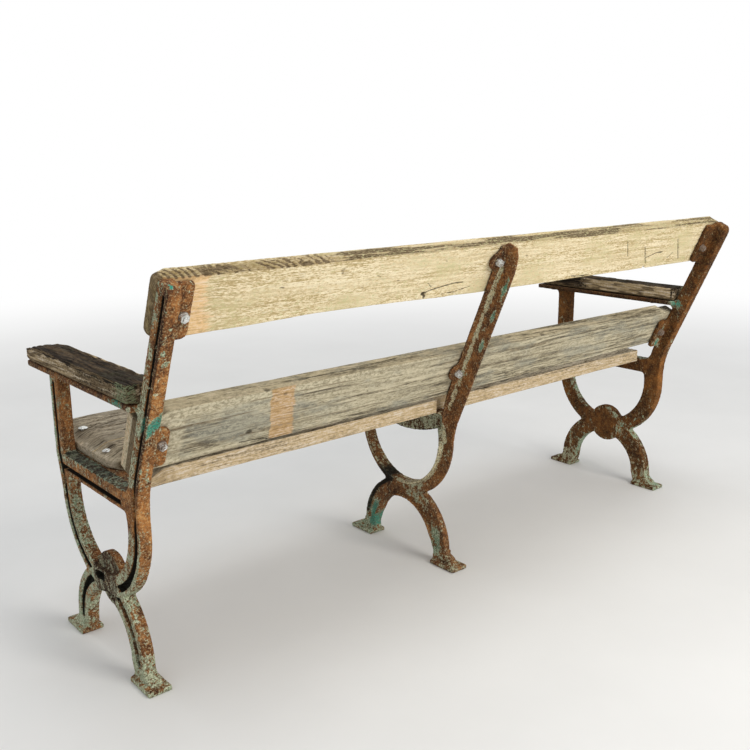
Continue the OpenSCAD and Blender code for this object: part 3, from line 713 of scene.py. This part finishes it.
# %% [markdown]
# ## The seat
# Two wide planks lie flat on the castings. Their tops are furrowed and grey. Towards the
# sitter's left the tops are worn down like an old step, and the rear plank has lost its
# corner there. The rear edge is cleaner, because the slats kept the rain off it.

# %% Seat planks
SEAT_LOW, SEAT_TOP, SEAT_END = 0.432, 0.47, 0.882
SEAT_STEPS = 0.0042, 0.0035  # along the plank and across it


def wear_seat(q, out, marks):
    """Both planks: tan blotches on upright rear edges, a pale worn arris at the left end, partly
    a painted highlight, with a hollow in it painted dark as rotten wood in painted shade, a dark
    spot of painted shade round the rear bolt, and dark cracks on top."""
    x, y, z = q.T
    add, up, rear = marks.add, ease(out[:, 2], 0.4, 0.8), ease(out[:, 1], 0.5, 0.9)
    end = ease(x + 0.01 * rough(q, 0.02, 40), 0.868, 0.882) * ease(z, 0.436, 0.446)
    hollow = end * between(y, 0.0, 0.03, 0.11, 0.13)
    whole = up * (1 - end)
    furrows = ease(rough(q, (0.045, 0.0055, 0.02), 42, 2), 0.43, 0.3) * whole
    add(rear, fresh=0.4 + 0.6 * rough(q, (0.2, 0.05, 0.02), 41), pale=0.4)
    # The worn arris at the end is pale, partly wear and partly a painted highlight.
    add(end, pale=0.8, fresh=0.35)
    add(ease(x, 0.815, 0.85), pale=0.5)
    add(ease(x, 0.8, 0.85) * (1 - end), dull=0.35)
    # The hollow is rotten wood, painted dark and brown as painted shade.
    add(hollow, dull=0.9, fresh=-1, brown=0.9)
    add(furrows, dark=0.8)
    # A dark spot round the rear bolt is painted shade of the sunk step there.
    add(spot(x, y, (0.849, -0.059), (0.014, 0.05)) * up, dark=0.45)
    add(ease(rough(q, (0.1, 0.012, 0.02), 43), 0.55, 0.68) * whole, brown=0.5)
    return furrows * 0.0025


def sunk(p):
    """Heights after wear: the top is worn down near the left end by a soft curve to 21 mm and
    a little noise, the underside not at all, and what lies between in proportion."""
    x, z = p[:, 0], p[:, 2]
    worn = 0.021 * ease(x, 0.838, 0.897) ** 0.8 + 0.004 * ease(x, 0.79, 0.86) * rough(p, 0.03, 44)
    return z - worn * (z - SEAT_LOW) / (SEAT_TOP - SEAT_LOW)


def place_rear(p):
    """Both ends of the rear plank are broken back towards the rear, its rear edge runs 16 mm
    off square, a notch clears the middle casting, and the top is sunk."""
    x, y = p[:, 0], p[:, 1]
    near = np.interp(y, [-0.085, -0.016, 0.058, 0.105, 0.13],
                     [SEAT_END, 0.8815, 0.85, 0.85, 0.872])
    far = np.interp(y, [-0.085, 0.07, 0.108, 0.163], [SEAT_END, SEAT_END, 0.84, 0.84])
    x = (x + ease(x, 0.74, SEAT_END) * (near - SEAT_END)
         + ease(x, -0.74, -SEAT_END) * (SEAT_END - far))
    rear = np.where(np.abs(x - MIDDLE_X) < 0.0325, 0.1318, 0.147 + 0.016 * (x + 0.84) / 1.69)
    y = np.where(y > 0.08, 0.08 + (y - 0.08) * (rear - 0.08) / 0.083, y)
    return on_seat(np.stack([x, y, sunk(p)], -1))


def place_front(p):
    """The front plank is only sunk."""
    return on_seat(np.stack([p[:, 0], p[:, 1], sunk(p)], -1))


weathered("seat_rear_timber", "seat_plank_rear", wood_rear,
          (-SEAT_END, -0.085, SEAT_LOW), (SEAT_END, 0.163, SEAT_TOP), (*SEAT_STEPS, 0.0038),
          (0.02, 0.3), 47, place_rear, wear_seat, furrow=0.0013, spacing=0.011)
weathered("seat_front_timber", "seat_plank_front", wood_front,
          (-SEAT_END, -0.314, SEAT_LOW), (SEAT_END, -0.088, SEAT_TOP), (*SEAT_STEPS, 0.0042),
          (-0.2, 0.33), 53, place_front, wear_seat, furrow=0.0015, spacing=0.012)

# %% [markdown]
# ## Arm boards
# The arm boards are older and almost black. Their tops have deep furrows, their front tips
# have rotted thin, and their lower edges are tucked in, which leaves a dark gap above the iron.

# %% Arm boards
ARM_X, ARM_LOW, ARM_THICK, ARM_HALF = 0.904, 0.634, 0.041, 0.036


def wear_arm(q, out, marks):
    """Deep furrows along y on top, tan wood low on the sides, brown streaks, moss at the rear
    end, and torn wood at the front and along the inner edge."""
    x, y, z = q.T
    add, up, inside = marks.add, ease(out[:, 2], 0.4, 0.8), ease(out[:, 0], -0.2, -0.7)
    lit = np.maximum(ease(out[:, 0], 0.2, 0.7), ease(np.abs(out[:, 1]), 0.2, 0.7))
    furrow = ease(rough(q, (0.006, 0.07, 0.03), 61, 2), 0.55, 0.34)
    low = ease(z + uneven(q, (0.02, 0.03, 0.02), 62, 0, 0.012), 0.67, 0.664)
    add(furrow * up, dark=0.8)
    add(lit * low, fresh=0.65 - 0.2 * ease(y, -0.1, 0.1))
    add(inside * between(y, -0.17, -0.02, 0.225, 0.236), fresh=1)
    streaks = ease(rough(q, (0.006, 0.05, 0.006), 64), 0.44, 0.6)
    add(np.maximum(lit, inside) * streaks, brown=0.72)
    add(ease(z, 0.643, 0.637), brown=0.8)
    add(ease(y, 0.15, 0.215) * ease(x, 0.905, 0.925) * lit, moss=0.62)
    torn = ease(y, -0.21, -0.3) * 0.004 + ease(x, 0.895, 0.872) * 0.005
    torn *= ease(rough(q, (0.05, 0.03, 0.05), 63), 0.35, 0.75)
    return (furrow * 0.0032 + torn) * up


def place_arm(p, sign):
    """The front tip thins by a broken slope and narrows by a third, and the lower edges are
    tucked in by 8 mm. sign is -1 for the mirrored board."""
    x, y, z = p.T
    crest = np.interp(y, [-0.3, -0.27, -0.21], [0.659, 0.668, 0.675])
    low = ARM_LOW + 0.0028 * ease(x, 0.92, 0.936) + 0.012 * ease(y, -0.258, -0.298)
    z = low + (z - ARM_LOW) / ARM_THICK * (crest - low)
    tuck = ease(z, 0.6395, ARM_LOW) * 0.0078
    x = x - np.sign(x - ARM_X) * np.minimum(tuck, np.abs(x - ARM_X))
    x = ARM_X + (x - ARM_X) * (1 - ease(y, -0.275, -0.3) * 0.012 / ARM_HALF)
    return on_seat(np.stack([sign * x, y, z], -1))


for hand, sign, seed in (("left", 1, 71), ("right", -1, 73)):
    board = weathered("arm_timber_" + hand, "arm_board_" + hand, wood_arm,
                      (ARM_X - ARM_HALF, -0.3, ARM_LOW),
                      (ARM_X + ARM_HALF, 0.2384, ARM_LOW + ARM_THICK), (0.003, 0.0042, 0.003),
                      (0.9, 0.55), seed, lambda p: place_arm(p, sign), wear_arm,
                      furrow=0.0016, spacing=0.009, round_by=(0.003, 0.006), run=1)
    if sign < 0:
        board.data.flip_normals()  # its shape is mirrored, so its faces turn round

# %% [markdown]
# ## The castings
# Each frame is one iron casting. The CAD has the exact outline but knife-sharp edges and dead
# flat faces. A sand casting has soft edges, faint lumps and pits. So the CAD mesh is copied,
# its loose triangles are merged, a voxel remesh gives it an even skin, a light smoothing
# rounds every edge by about 2 mm, and numpy then pushes the skin in by uneven noise.

# %% Casting skin
VOXEL = 0.0031


def casting(name, node, finish, marks_for, seed, shape=None):
    """Copy of a CAD casting: merged, remeshed, smoothed, pitted inward, and marked for its
    paint and rust. shape may move the points before the pits."""
    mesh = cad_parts[node].data.copy()
    work = bmesh.new()
    work.from_mesh(mesh)
    bmesh.ops.remove_doubles(work, verts=work.verts, dist=2e-5)
    work.to_mesh(mesh)
    work.free()
    ob = bpy.data.objects.new(name, mesh)
    scene.collection.objects.link(ob)
    remesh = ob.modifiers.new("skin", "REMESH")
    remesh.mode, remesh.voxel_size, remesh.adaptivity = "VOXEL", VOXEL, 0
    smooth = ob.modifiers.new("soft edges", "SMOOTH")
    smooth.factor, smooth.iterations = 0.5, 4
    bpy.context.view_layer.update()
    graph = bpy.context.evaluated_depsgraph_get()
    done = bpy.data.meshes.new_from_object(ob.evaluated_get(graph))
    ob.modifiers.clear()
    ob.data = done
    done.name = name
    done.materials.clear()
    done.materials.append(finish)
    p, out = np.empty((2, len(done.vertices) * 3), np.float32)
    done.vertices.foreach_get("co", p)
    done.vertices.foreach_get("normal", out)
    p, out = p.reshape(-1, 3).astype(float), out.reshape(-1, 3).astype(float)
    p = shape(p) if shape else p
    pits = (rough(p, 0.035, seed) + ease(rough(p, 0.008, seed + 1, 2), 0.62, 0.8)) * 0.0007
    marks_for(p, out).write(done)
    done.vertices.foreach_set("co", (p - out * pits[:, None]).astype(np.float32).ravel())
    done.update()
    done.shade_smooth()
    hand_over(ob, node)


print("castings are remeshed with voxels of", VOXEL, "m")

# %% [markdown]
# ## Rust and old paint
# The iron has rusted through at least two coats of paint. The rust goes from purple brown,
# which the marks also use as painted shade, to bright orange, which they also use as a painted
# highlight on faces towards the lamp. What is left of the paint is cream, pale grey green and,
# in a few long flakes, turquoise. Four marks on the points say how orange the rust is (tone),
# how much paint is left (paint), how green it is (green), and how much painted shade darkens
# it, near black, in channels, hollows and under things.

# %% Rust recipe
def rusty(name, tone=0.0, paint=0.0, grain=1.0, tint=(1.0, 1.0, 1.0)):
    """Rust by tone and noise of four sizes, flakes of paint where the paint mark beats the
    noise, and near-black painted shade on top. grain scales the finest noise, tint multiplies the
    rust."""
    f = Finish(name)
    broad, mid = f.noise(0.06, 4, 0.6), f.noise(0.016, 4, 0.7)
    fine, flake = f.noise(0.005, 3, 0.7), f.noise((0.013, 0.013, 0.019), 4, 0.7)
    grit = f.noise((0.0033, 0.0036, 0.0031), 2, 0.6)
    other = f.noise((0.004, 0.0034, 0.0043), 2, 0.6)
    heat = f.sum(f.attribute("tone"), (mid, 0.6 + 0.9 * grain), (fine, grain),
                 (grit, 0.4 * grain), (broad, 0.9), tone - 0.8 - 1.15 * grain)
    rust = f.ramp(heat, (0.0, (0.045, 0.022, 0.013)), (0.22, (0.105, 0.045, 0.02)),
                  (0.46, (0.22, 0.092, 0.032)), (0.72, (0.42, 0.18, 0.055)),
                  (1.0, (0.6, 0.34, 0.12)))
    rust = f.mix(f.share(other, 0.55, 0.63, 0.6 * grain), rust, (0.5, 0.36, 0.18))
    rust = f.mix(1.0, rust, tint, "MULTIPLY")
    # Paint from cream over grey green to turquoise, with light flecks and dark grit.
    hue = f.sum(f.attribute("green"), (broad, 0.5), (grit, 0.5), -0.5)
    coat = f.ramp(hue, (0.0, (0.66, 0.54, 0.32)), (0.28, (0.48, 0.48, 0.31)),
                  (0.55, (0.29, 0.37, 0.24)), (0.8, (0.09, 0.27, 0.19)), (1.0, (0.02, 0.24, 0.17)))
    flecks = f.math("MULTIPLY", f.range(other, 0.5, 0.56), f.range(hue, 0.85, 0.6, 0.15, 0.75))
    coat = f.mix(flecks, coat, (0.68, 0.69, 0.49))
    coat = f.mix(f.share(grit, 0.485, 0.42, 0.75), coat, (0.1, 0.085, 0.05))
    amount = f.sum(f.attribute("paint"), (flake, 2.0), (fine, 2.2 * grain),
                   paint - 1.5 - 1.1 * grain)
    left = f.range(amount, -0.02, 0.08)
    base = f.mix(left, rust, coat)
    # A pale rim round the flakes, dark pits, and near-black painted shade.
    rim = f.math("MULTIPLY", f.range(amount, -0.1, -0.02), f.share(amount, 0.06, 0.0, 0.35))
    base = f.mix(rim, base, (0.6, 0.46, 0.27))
    base = f.mix(f.share(grit, 0.42, 0.34, 0.32 * grain), base, (0.035, 0.02, 0.012))
    painted_shade_amount = f.share(f.sum(f.attribute("grime"), (mid, 0.6), -0.3), 0.15, 0.5, 0.97)
    base = f.mix(painted_shade_amount, base, (0.012, 0.011, 0.008))
    f.bump(f.sum((fine, 0.6), (mid, 0.6), (left, 0.3)), 0.0016)
    return f.done(base, f.range(amount, -0.05, 0.1, 0.86, 0.6), specular=0.12)


iron_left = rusty("iron_left_frame")
iron_right = rusty("iron_right_frame", -0.16, -0.02, 0.5, (0.85, 0.8, 0.62))
iron_middle = rusty("iron_middle_frame", -0.02, 0.02, 0.8)
print("rust recipes:", [m.name for m in (iron_left, iron_right, iron_middle)])

# %% [markdown]
# ## Where the paint is left
# The marks are worked out from the shape itself: which way a face looks, how far it is
# behind the slats, how high it is, and whether it lies down in the channel of the casting.

# %% Marks of the end castings
LOOP_Z, ARCH_Z = 0.352, 0.036  # heights of the centres of the round loop and the leg arch


def on_frame(p):
    """y from the loops' centre, z, b and s of the back, and 1 on the upright that leans."""
    b, s = (p - START) @ BACK, (p - START) @ SLOPE
    return p[:, 1] - MOVED, p[:, 2], b, s, ease(s, -0.09, -0.02) * ease(b, -0.012, -0.002)


def egg(p, at, size, core):
    """1 in the middle of an egg in space and 0 outside: distance squeezed along each axis."""
    return ease(np.linalg.norm((p - at) / size, axis=1), 1.1, core)


def left_flakes(p, x, b, s, rear):
    """Flakes on the left frame, with how much paint and how much green each adds."""
    stripe = ease(np.abs(s + 0.98 * (x - 0.9) - 0.126), 0.026, 0.01)
    streak = ease(b, 0.008, 0.012)
    return ((stripe * ease(np.abs(x - 0.9), 0.019, 0.01) * rear, 0.8, 0.5),
            (egg(p, (0.904, 0.352, 0.872), (0.009, 0.03, 0.007), 0.5), 0.6, 0.45),
            (egg(p, (0.932, 0.14, 0.626), (0.022, 0.04, 0.014), 0.5), 0.5, 0.45),
            (spot(x, s, (0.906, 0.292), (0.007, 0.009)) * rear, 0.55, 0.12),
            (spot(x, s, (0.899, 0.267), (0.01, 0.011)) * rear, 0.5, 0.1),
            (spot(x, s, (0.907, 0.201), (0.01, 0.003), 0.3) * rear, 0.9, -0.4),
            (spot(x, s, (0.906, 0.232), (0.003, 0.012)) * rear, 0.6, -0.3),
            (spot(x, s, (0.868, 0.088), (0.012, 0.006), -0.3) * streak, 0.9, -0.4))


def right_flakes(p):
    """The same for the right frame."""
    return ((egg(p, (-0.868, 0.15, 0.5), (0.012, 0.02, 0.02), 0.4), 0.7, 0.4),
            (egg(p, (-0.866, 0.172, 0.54), (0.014, 0.02, 0.03), 0.4), 0.35, 0.25),
            (egg(p, (-0.872, 0.2, 0.628), (0.035, 0.04, 0.02), 0.4), 0.35, 0.3),
            (egg(p, (-0.885, 0.215, 0.6), (0.03, 0.03, 0.05), 0.4), 0.16, 0.3))


def end_marks(p, out, sign):
    """Marks of an end frame; sign is 1 for the sitter's left. Outer faces keep green paint,
    channels get near-black painted shade, faces towards the key lamp get more orange rust as a
    painted highlight, the back strip of the outer side gets darker rust as painted shade, and the
    feet are cream and green."""
    y, z, b, s, leaning = on_frame(p)
    x = p[:, 0] * sign
    outer, inner = ease(out[:, 0] * sign, 0.3, 0.8), ease(out[:, 0] * -sign, 0.3, 0.8)
    rear, facing = ease(out @ BACK, 0.3, 0.8), ease(out[:, 1], 0.2, 0.7)
    side, spine = leaning * outer, leaning * rear
    post = ease(y, -0.165, -0.18) * between(z, 0.36, 0.4, 0.6, 0.62)
    below, width = ease(z, 0.37, 0.34), ease(np.abs(y + 0.02), 0.155, 0.15)
    loop, arch = np.hypot(y, z - LOOP_Z), np.hypot(y, z - ARCH_Z)
    # Near-black painted shade lies in the channels of the upright, the loop, the bearer, the post
    # and the leg.
    painted_shade_amount = between(x, 0.886, 0.89, 0.9095, 0.9138) * np.maximum.reduce([
        leaning * between(b, 0.019, 0.022, 0.03, 0.033) * ease(s, 0.405, 0.4),
        between(loop, 0.168, 0.172, 0.185, 0.189) * ease(z, 0.4, 0.36)
        * ease(arch, 0.166, 0.17),
        between(z, 0.392, 0.395, 0.404, 0.408) * width,
        post * between(y, -0.2095, -0.206, -0.191, -0.187),
        between(arch, 0.134, 0.138, 0.152, 0.157) * ease(z, 0.03, 0.04) * below * 0.6])
    patchy = uneven(p, 0.07, 83, 0, 1)
    marks = Marks(tone=uneven(p, 0.07, 81, 0.43, 0.3), paint=0.14 + 0.5 * patchy,
                  green=uneven(p, 0.11, 85, 0.4, 0.4), grime=painted_shade_amount)
    add = marks.add
    # The upright: its lower rear faces are painted more orange, a painted highlight, and the back
    # strip of its outer side darker, a painted shade.
    add(spine, paint=0.02 + 0.14 * between(s, -0.06, -0.03, 0.02, 0.05))
    add(spine * ease(s, 0.3, 0.24), tone=0.16)
    add(side, tone=-0.26 * ease(b, 0.027, 0.033) - 0.05 * ease(s, 0.27, 0.3), green=-0.02)
    add(side * ease(b, 0.026, 0.018), paint=0.32 + 0.6 * patchy)
    # The post: its rear faces are painted more orange, a painted highlight.
    add(post, tone=0.11 + 0.16 * rear, paint=0.14 + 0.02 * rear, green=0.2 * outer)
    add(post * outer * ease(y, -0.203, -0.209), paint=0.5)
    add(ease(y, -0.2, -0.22) * ease(z, 0.6, 0.63), tone=-0.1)
    # The loop and the legs: the bend is more orange, most on its rear faces, a painted highlight.
    bend = between(z, 0.22, 0.28, 0.43, 0.46) * ease(y, 0.12, 0.15)
    add(bend, tone=0.1 + 0.1 * rear)
    add(below, paint=0.05 + 0.34 * outer, green=0.04)
    add(ease(z, 0.34, 0.14), paint=0.08)
    add(ease(z, 0.1, 0.03), paint=0.16)
    add(ease(y, 0.05, 0.1) * rear * between(z, 0.17, 0.19, 0.2, 0.25), paint=0.2)
    front, back = ease(y, 0.0, -0.1) * facing, ease(y, 0.0, 0.06) * facing
    for where, amount in (
            (front * between(z, 0.345, 0.365, 0.4, 0.43), 0.26),
            (front * below * ease(z, 0.2, 0.22), 0.36),
            (front * between(z, 0.05, 0.09, 0.17, 0.19), 0.42),
            (back * between(z, 0.15, 0.16, 0.19, 0.2), 0.34),
            (back * ease(z, 0.08, 0.06), 0.22)):
        add(where, paint=amount)
    # The top of the bearer, dark green paint with painted shade from the seat above it, its lip,
    # the hub's boss and the plate under the arm.
    bearer = between(z, 0.425, 0.43, 0.436, 0.445) * ease(x, 0.88, 0.886)
    add(bearer * ease(out[:, 2], 0.4, 0.8), tone=-0.25, paint=0.42, green=0.16,
        grime=0.4 - 0.1 * ease(y, 0.0, 0.09))
    add(outer * between(z, 0.408, 0.412, 0.434, 0.44) * width, paint=0.18, green=0.15)
    hub = np.hypot(y - 0.006, z - 0.187)
    # The boss of the left frame gets darker rust and painted shade; the right one only a little.
    boss, darker = ease(hub, 0.064, 0.058), 0.32 if sign > 0 else 0.06
    add(boss, tone=-darker, paint=0.02 - 0.5 * darker, green=-0.2, grime=darker)
    plate = between(z, 0.615, 0.619, 0.636, 0.64) * ease(b, 0.0, -0.01)
    add(plate, tone=-0.18, paint=-0.1)
    if sign < 0:
        ring = ease(np.abs(hub - 0.055), 0.009, 0.003)
        add(inner, paint=0.16 * ring + 0.06 * ease(z, 0.1, 0.05),
            green=-0.25 * ease(z, 0.12, 0.06))
        add(below, green=0.12)
        add(boss, tone=0.08, paint=-0.2 * ease(hub, 0.045, 0.03))
    for near, amount, hue in left_flakes(p, x, b, s, rear) if sign > 0 else right_flakes(p):
        add(near, paint=amount, green=hue)
        marks["grime"] *= 1 - near
    # Faces that look down get painted shade.
    add(ease(out[:, 2], -0.3, -0.9), grime=0.25)
    marks["grime"] = np.clip(marks["grime"], 0, 1)
    return marks


for hand, sign, finish, seed in (("left", 1, iron_left, 91), ("right", -1, iron_right, 93)):
    casting("iron_cast_" + hand, "end_frame_" + hand, finish,
            lambda p, out: end_marks(p, out, sign), seed)

# %% [markdown]
# ## The middle casting
# The middle frame is a T in section, so it has no channel to darken. Its stem is pale grey
# green near the slats and rust further back, pale lines run along the rims, the loop's line
# partly a painted highlight, painted shade lies under it, at its edges and beside the rims,
# and the front foot is turquoise.

# %% Marks of the middle casting
STEM_PATCHES = ((0.046, 0.328), 0.042), ((0.043, 0.247), 0.028), ((0.042, 0.16), 0.028)


def middle_marks(p, out):
    """Marks by zones: stem for the sides of the upright, inside for the inner face of the
    loop, ridge for its rim, partly paint and partly painted highlight, rib for the rims of the
    legs, fork where they meet the loop, and belly for the deep middle of the bearer, which gets
    painted shadow."""
    y, z, b, s, leaning = on_frame(p)
    x, flat = p[:, 0] - MIDDLE_X, np.abs(out[:, 0])
    sides = ease(flat, 0.4, 0.8) * ease(np.abs(x), 0.009, 0.006)
    stem, below = leaning * sides, ease(z, 0.37, 0.33)
    loop, arch = np.hypot(y + 0.006, z - LOOP_Z), np.hypot(y, z - ARCH_Z)
    rim = np.minimum(along(y, z, [(0.148, 0.43), (0.159, 0.352)]),
                     np.abs(loop - 0.155) + ease(z, 0.35, 0.356) + ease(y, -0.02, -0.03))
    inside = between(loop, 0.145, 0.148, 0.154, 0.16) * below
    marks = Marks(tone=uneven(p, 0.07, 87, 0.38, 0.3), grime=np.zeros(len(p)),
                  paint=uneven(p, (0.02, 0.05, 0.05), 83, 0.1, 0.3),
                  green=uneven(p, 0.08, 89, 0.3, 0.4))
    add = marks.add
    # The front and back edges of the upright get darker rust, a painted shade.
    add(leaning * np.maximum(ease(b, 0.006, 0.002), ease(b, 0.05, 0.055)), tone=-0.16)
    # The stem: a little more orange, less green at the back, and painted shade close to the slats.
    add(stem, tone=0.05, green=-0.3 * ease(b, 0.026, 0.017), grime=0.35 * ease(b, 0.007, 0.003))
    add(stem * between(b, 0.001, 0.005, 0.017, 0.026) * ease(s, 0.385, 0.365), paint=0.64)
    for at, half in STEM_PATCHES:
        add(stem * spot(b, s, at, (0.009, half)), paint=0.7, green=0.42)
    add(ease(z, 0.05, 0.02), paint=0.2)
    add(below, paint=0.04 + 0.3 * ease(y, -0.08, -0.13) * ease(z, 0.17, 0.13))
    # The inner face of the loop gets painted shade towards the front.
    add(inside, paint=0.05 + 0.18 * ease(y, 0.05, -0.05), green=-0.1,
        grime=0.15 * ease(y, 0.05, 0.0))
    add(ease(y, -0.05, -0.13) * ease(z, 0.12, 0.09), green=0.25)
    # Pale lines along the inner rim of the loop and down both legs. The loop's line is partly
    # paint and partly a painted highlight on its face towards the lamp.
    ridge = ease(rim, 0.0075, 0.003)
    rib = ease(np.abs(arch - 0.134), 0.018, 0.008) * between(z, 0.02, 0.03, 0.08, 0.12)
    fork = ease(np.hypot(y - 0.05, z - 0.18) / 0.075, 1.0, 0.4)
    add(ridge, paint=0.85 * np.maximum(flat, 0.6), green=-0.25)
    add(rib, paint=0.55 * np.maximum(flat, 0.6), green=0.26)
    add(fork, paint=0.3 * flat)
    # Painted shade underneath, beside the rim and round the front leg.
    add(ease(out[:, 2], -0.3, -0.9), grime=0.35)
    beside = ease(loop, 0.16, 0.152) * ease(rim, 0.004, 0.008)
    add(sides * below * ease(y, 0.03, 0.06) * beside, grime=0.45)
    add(ease(arch, 0.15, 0.158) * ease(y, -0.02, -0.06) * between(z, 0.04, 0.07, 0.2, 0.24),
        grime=0.45)
    # The deep middle of the bearer is painted dark, a painted shadow under the seat.
    belly = between(z, 0.335, 0.345, 0.42, 0.43) * ease(np.abs(y), 0.17, 0.15)
    add(belly, tone=-0.2, paint=0.45, grime=0.24)
    marks["grime"] = np.clip(marks["grime"], 0, 1)
    return marks


def middle_shape(p):
    """The rim inside the leg arch ends in a step on the CAD. It fades into the leg: its
    distance r from the arch's centre grows smoothly to 0.125 near the feet, its width shrinks
    there, and the thin stem between the rim and the foot swells to meet both."""
    x, y, z = p[:, 0] - MIDDLE_X, p[:, 1] - MOVED, p[:, 2] - ARCH_Z
    r = np.maximum(np.hypot(y, z), 1e-6)
    want = np.maximum(r, 0.115 + 0.01 * ease(z, 0.055, 0.012))
    grow = np.where((np.abs(z - 0.02) < 0.05) & (r < 0.14), want / r, 1.0)
    low = np.where((np.abs(x) > 0.004) & (np.abs(y) > 0.08), 0.0125, 0.0)
    low = low * between(z, -0.022, -0.012, 0.004, 0.014)
    high = np.where(r < 0.175, np.interp(z, [-0.012, 0.002, 0.05], [0.0145, 0.013, 0.03]), 1.0)
    high = np.where((z < -0.014) | (z > 0.055), 1.0, high)
    x = np.sign(x) * np.clip(np.abs(x), low, high)
    return np.stack([x + MIDDLE_X, y * grow + MOVED, p[:, 2]], -1)


casting("iron_cast_middle", "middle_frame", iron_middle, middle_marks, 97,
        middle_shape)

# %% [markdown]
# ## Bolts, washers, nuts and screws
# The fasteners are newer than the bench. Their shapes come straight from the CAD, and they
# only need the finish of dull zinc: a grey with frosty spangles, darker pits and a little
# rust that has washed down from the iron.

# %% Zinc recipe
def dull_zinc(name, rust):
    """Spangles from cells, pits and rust stains from noise, and a dull shine. There is more
    rust low on the left frame and on the whole right frame."""
    f = Finish(name)
    spangle = f.node("TexVoronoi", {"Vector": f.place(0.004), "Scale": 1.0}).outputs["Distance"]
    x, _, z = f.node("SeparateXYZ", {0: f.place()}).outputs
    low = f.math("MULTIPLY", f.range(z, 0.5, 0.6), f.range(z, 0.74, 0.7))
    low = f.math("MULTIPLY", f.range(x, 0.5, 0.6), low)
    old = f.math("MAXIMUM", low, f.range(x, -0.4, -0.6))
    stain = f.sum(f.noise(0.008, 4, 0.65), (old, 0.34), rust)
    grit = f.noise(0.0012, 2)
    base = f.ramp(spangle, (0.1, (0.52, 0.54, 0.5)), (0.7, (0.8, 0.81, 0.78)))
    base = f.mix(f.share(stain, 0.52, 0.68, 0.85), base, (0.16, 0.085, 0.04))
    base = f.mix(f.share(grit, 0.42, 0.32, 0.5), base, (0.1, 0.09, 0.08))
    f.bump(grit, 0.0004)
    return f.done(base, f.range(stain, 0.4, 0.7, 0.42, 0.7), metallic=0.35, specular=0.4)


zinc, brown_zinc = dull_zinc("dull_zinc", 0.0), dull_zinc("rusty_zinc", 0.16)
fasteners = [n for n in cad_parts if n.endswith(("bolts", "washers", "nuts", "screws"))]
for name in fasteners:
    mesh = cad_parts[name].data
    mesh.materials.clear()
    mesh.materials.append(brown_zinc if name.endswith("washers") else zinc)
print(len(fasteners), "groups of fasteners in zinc")
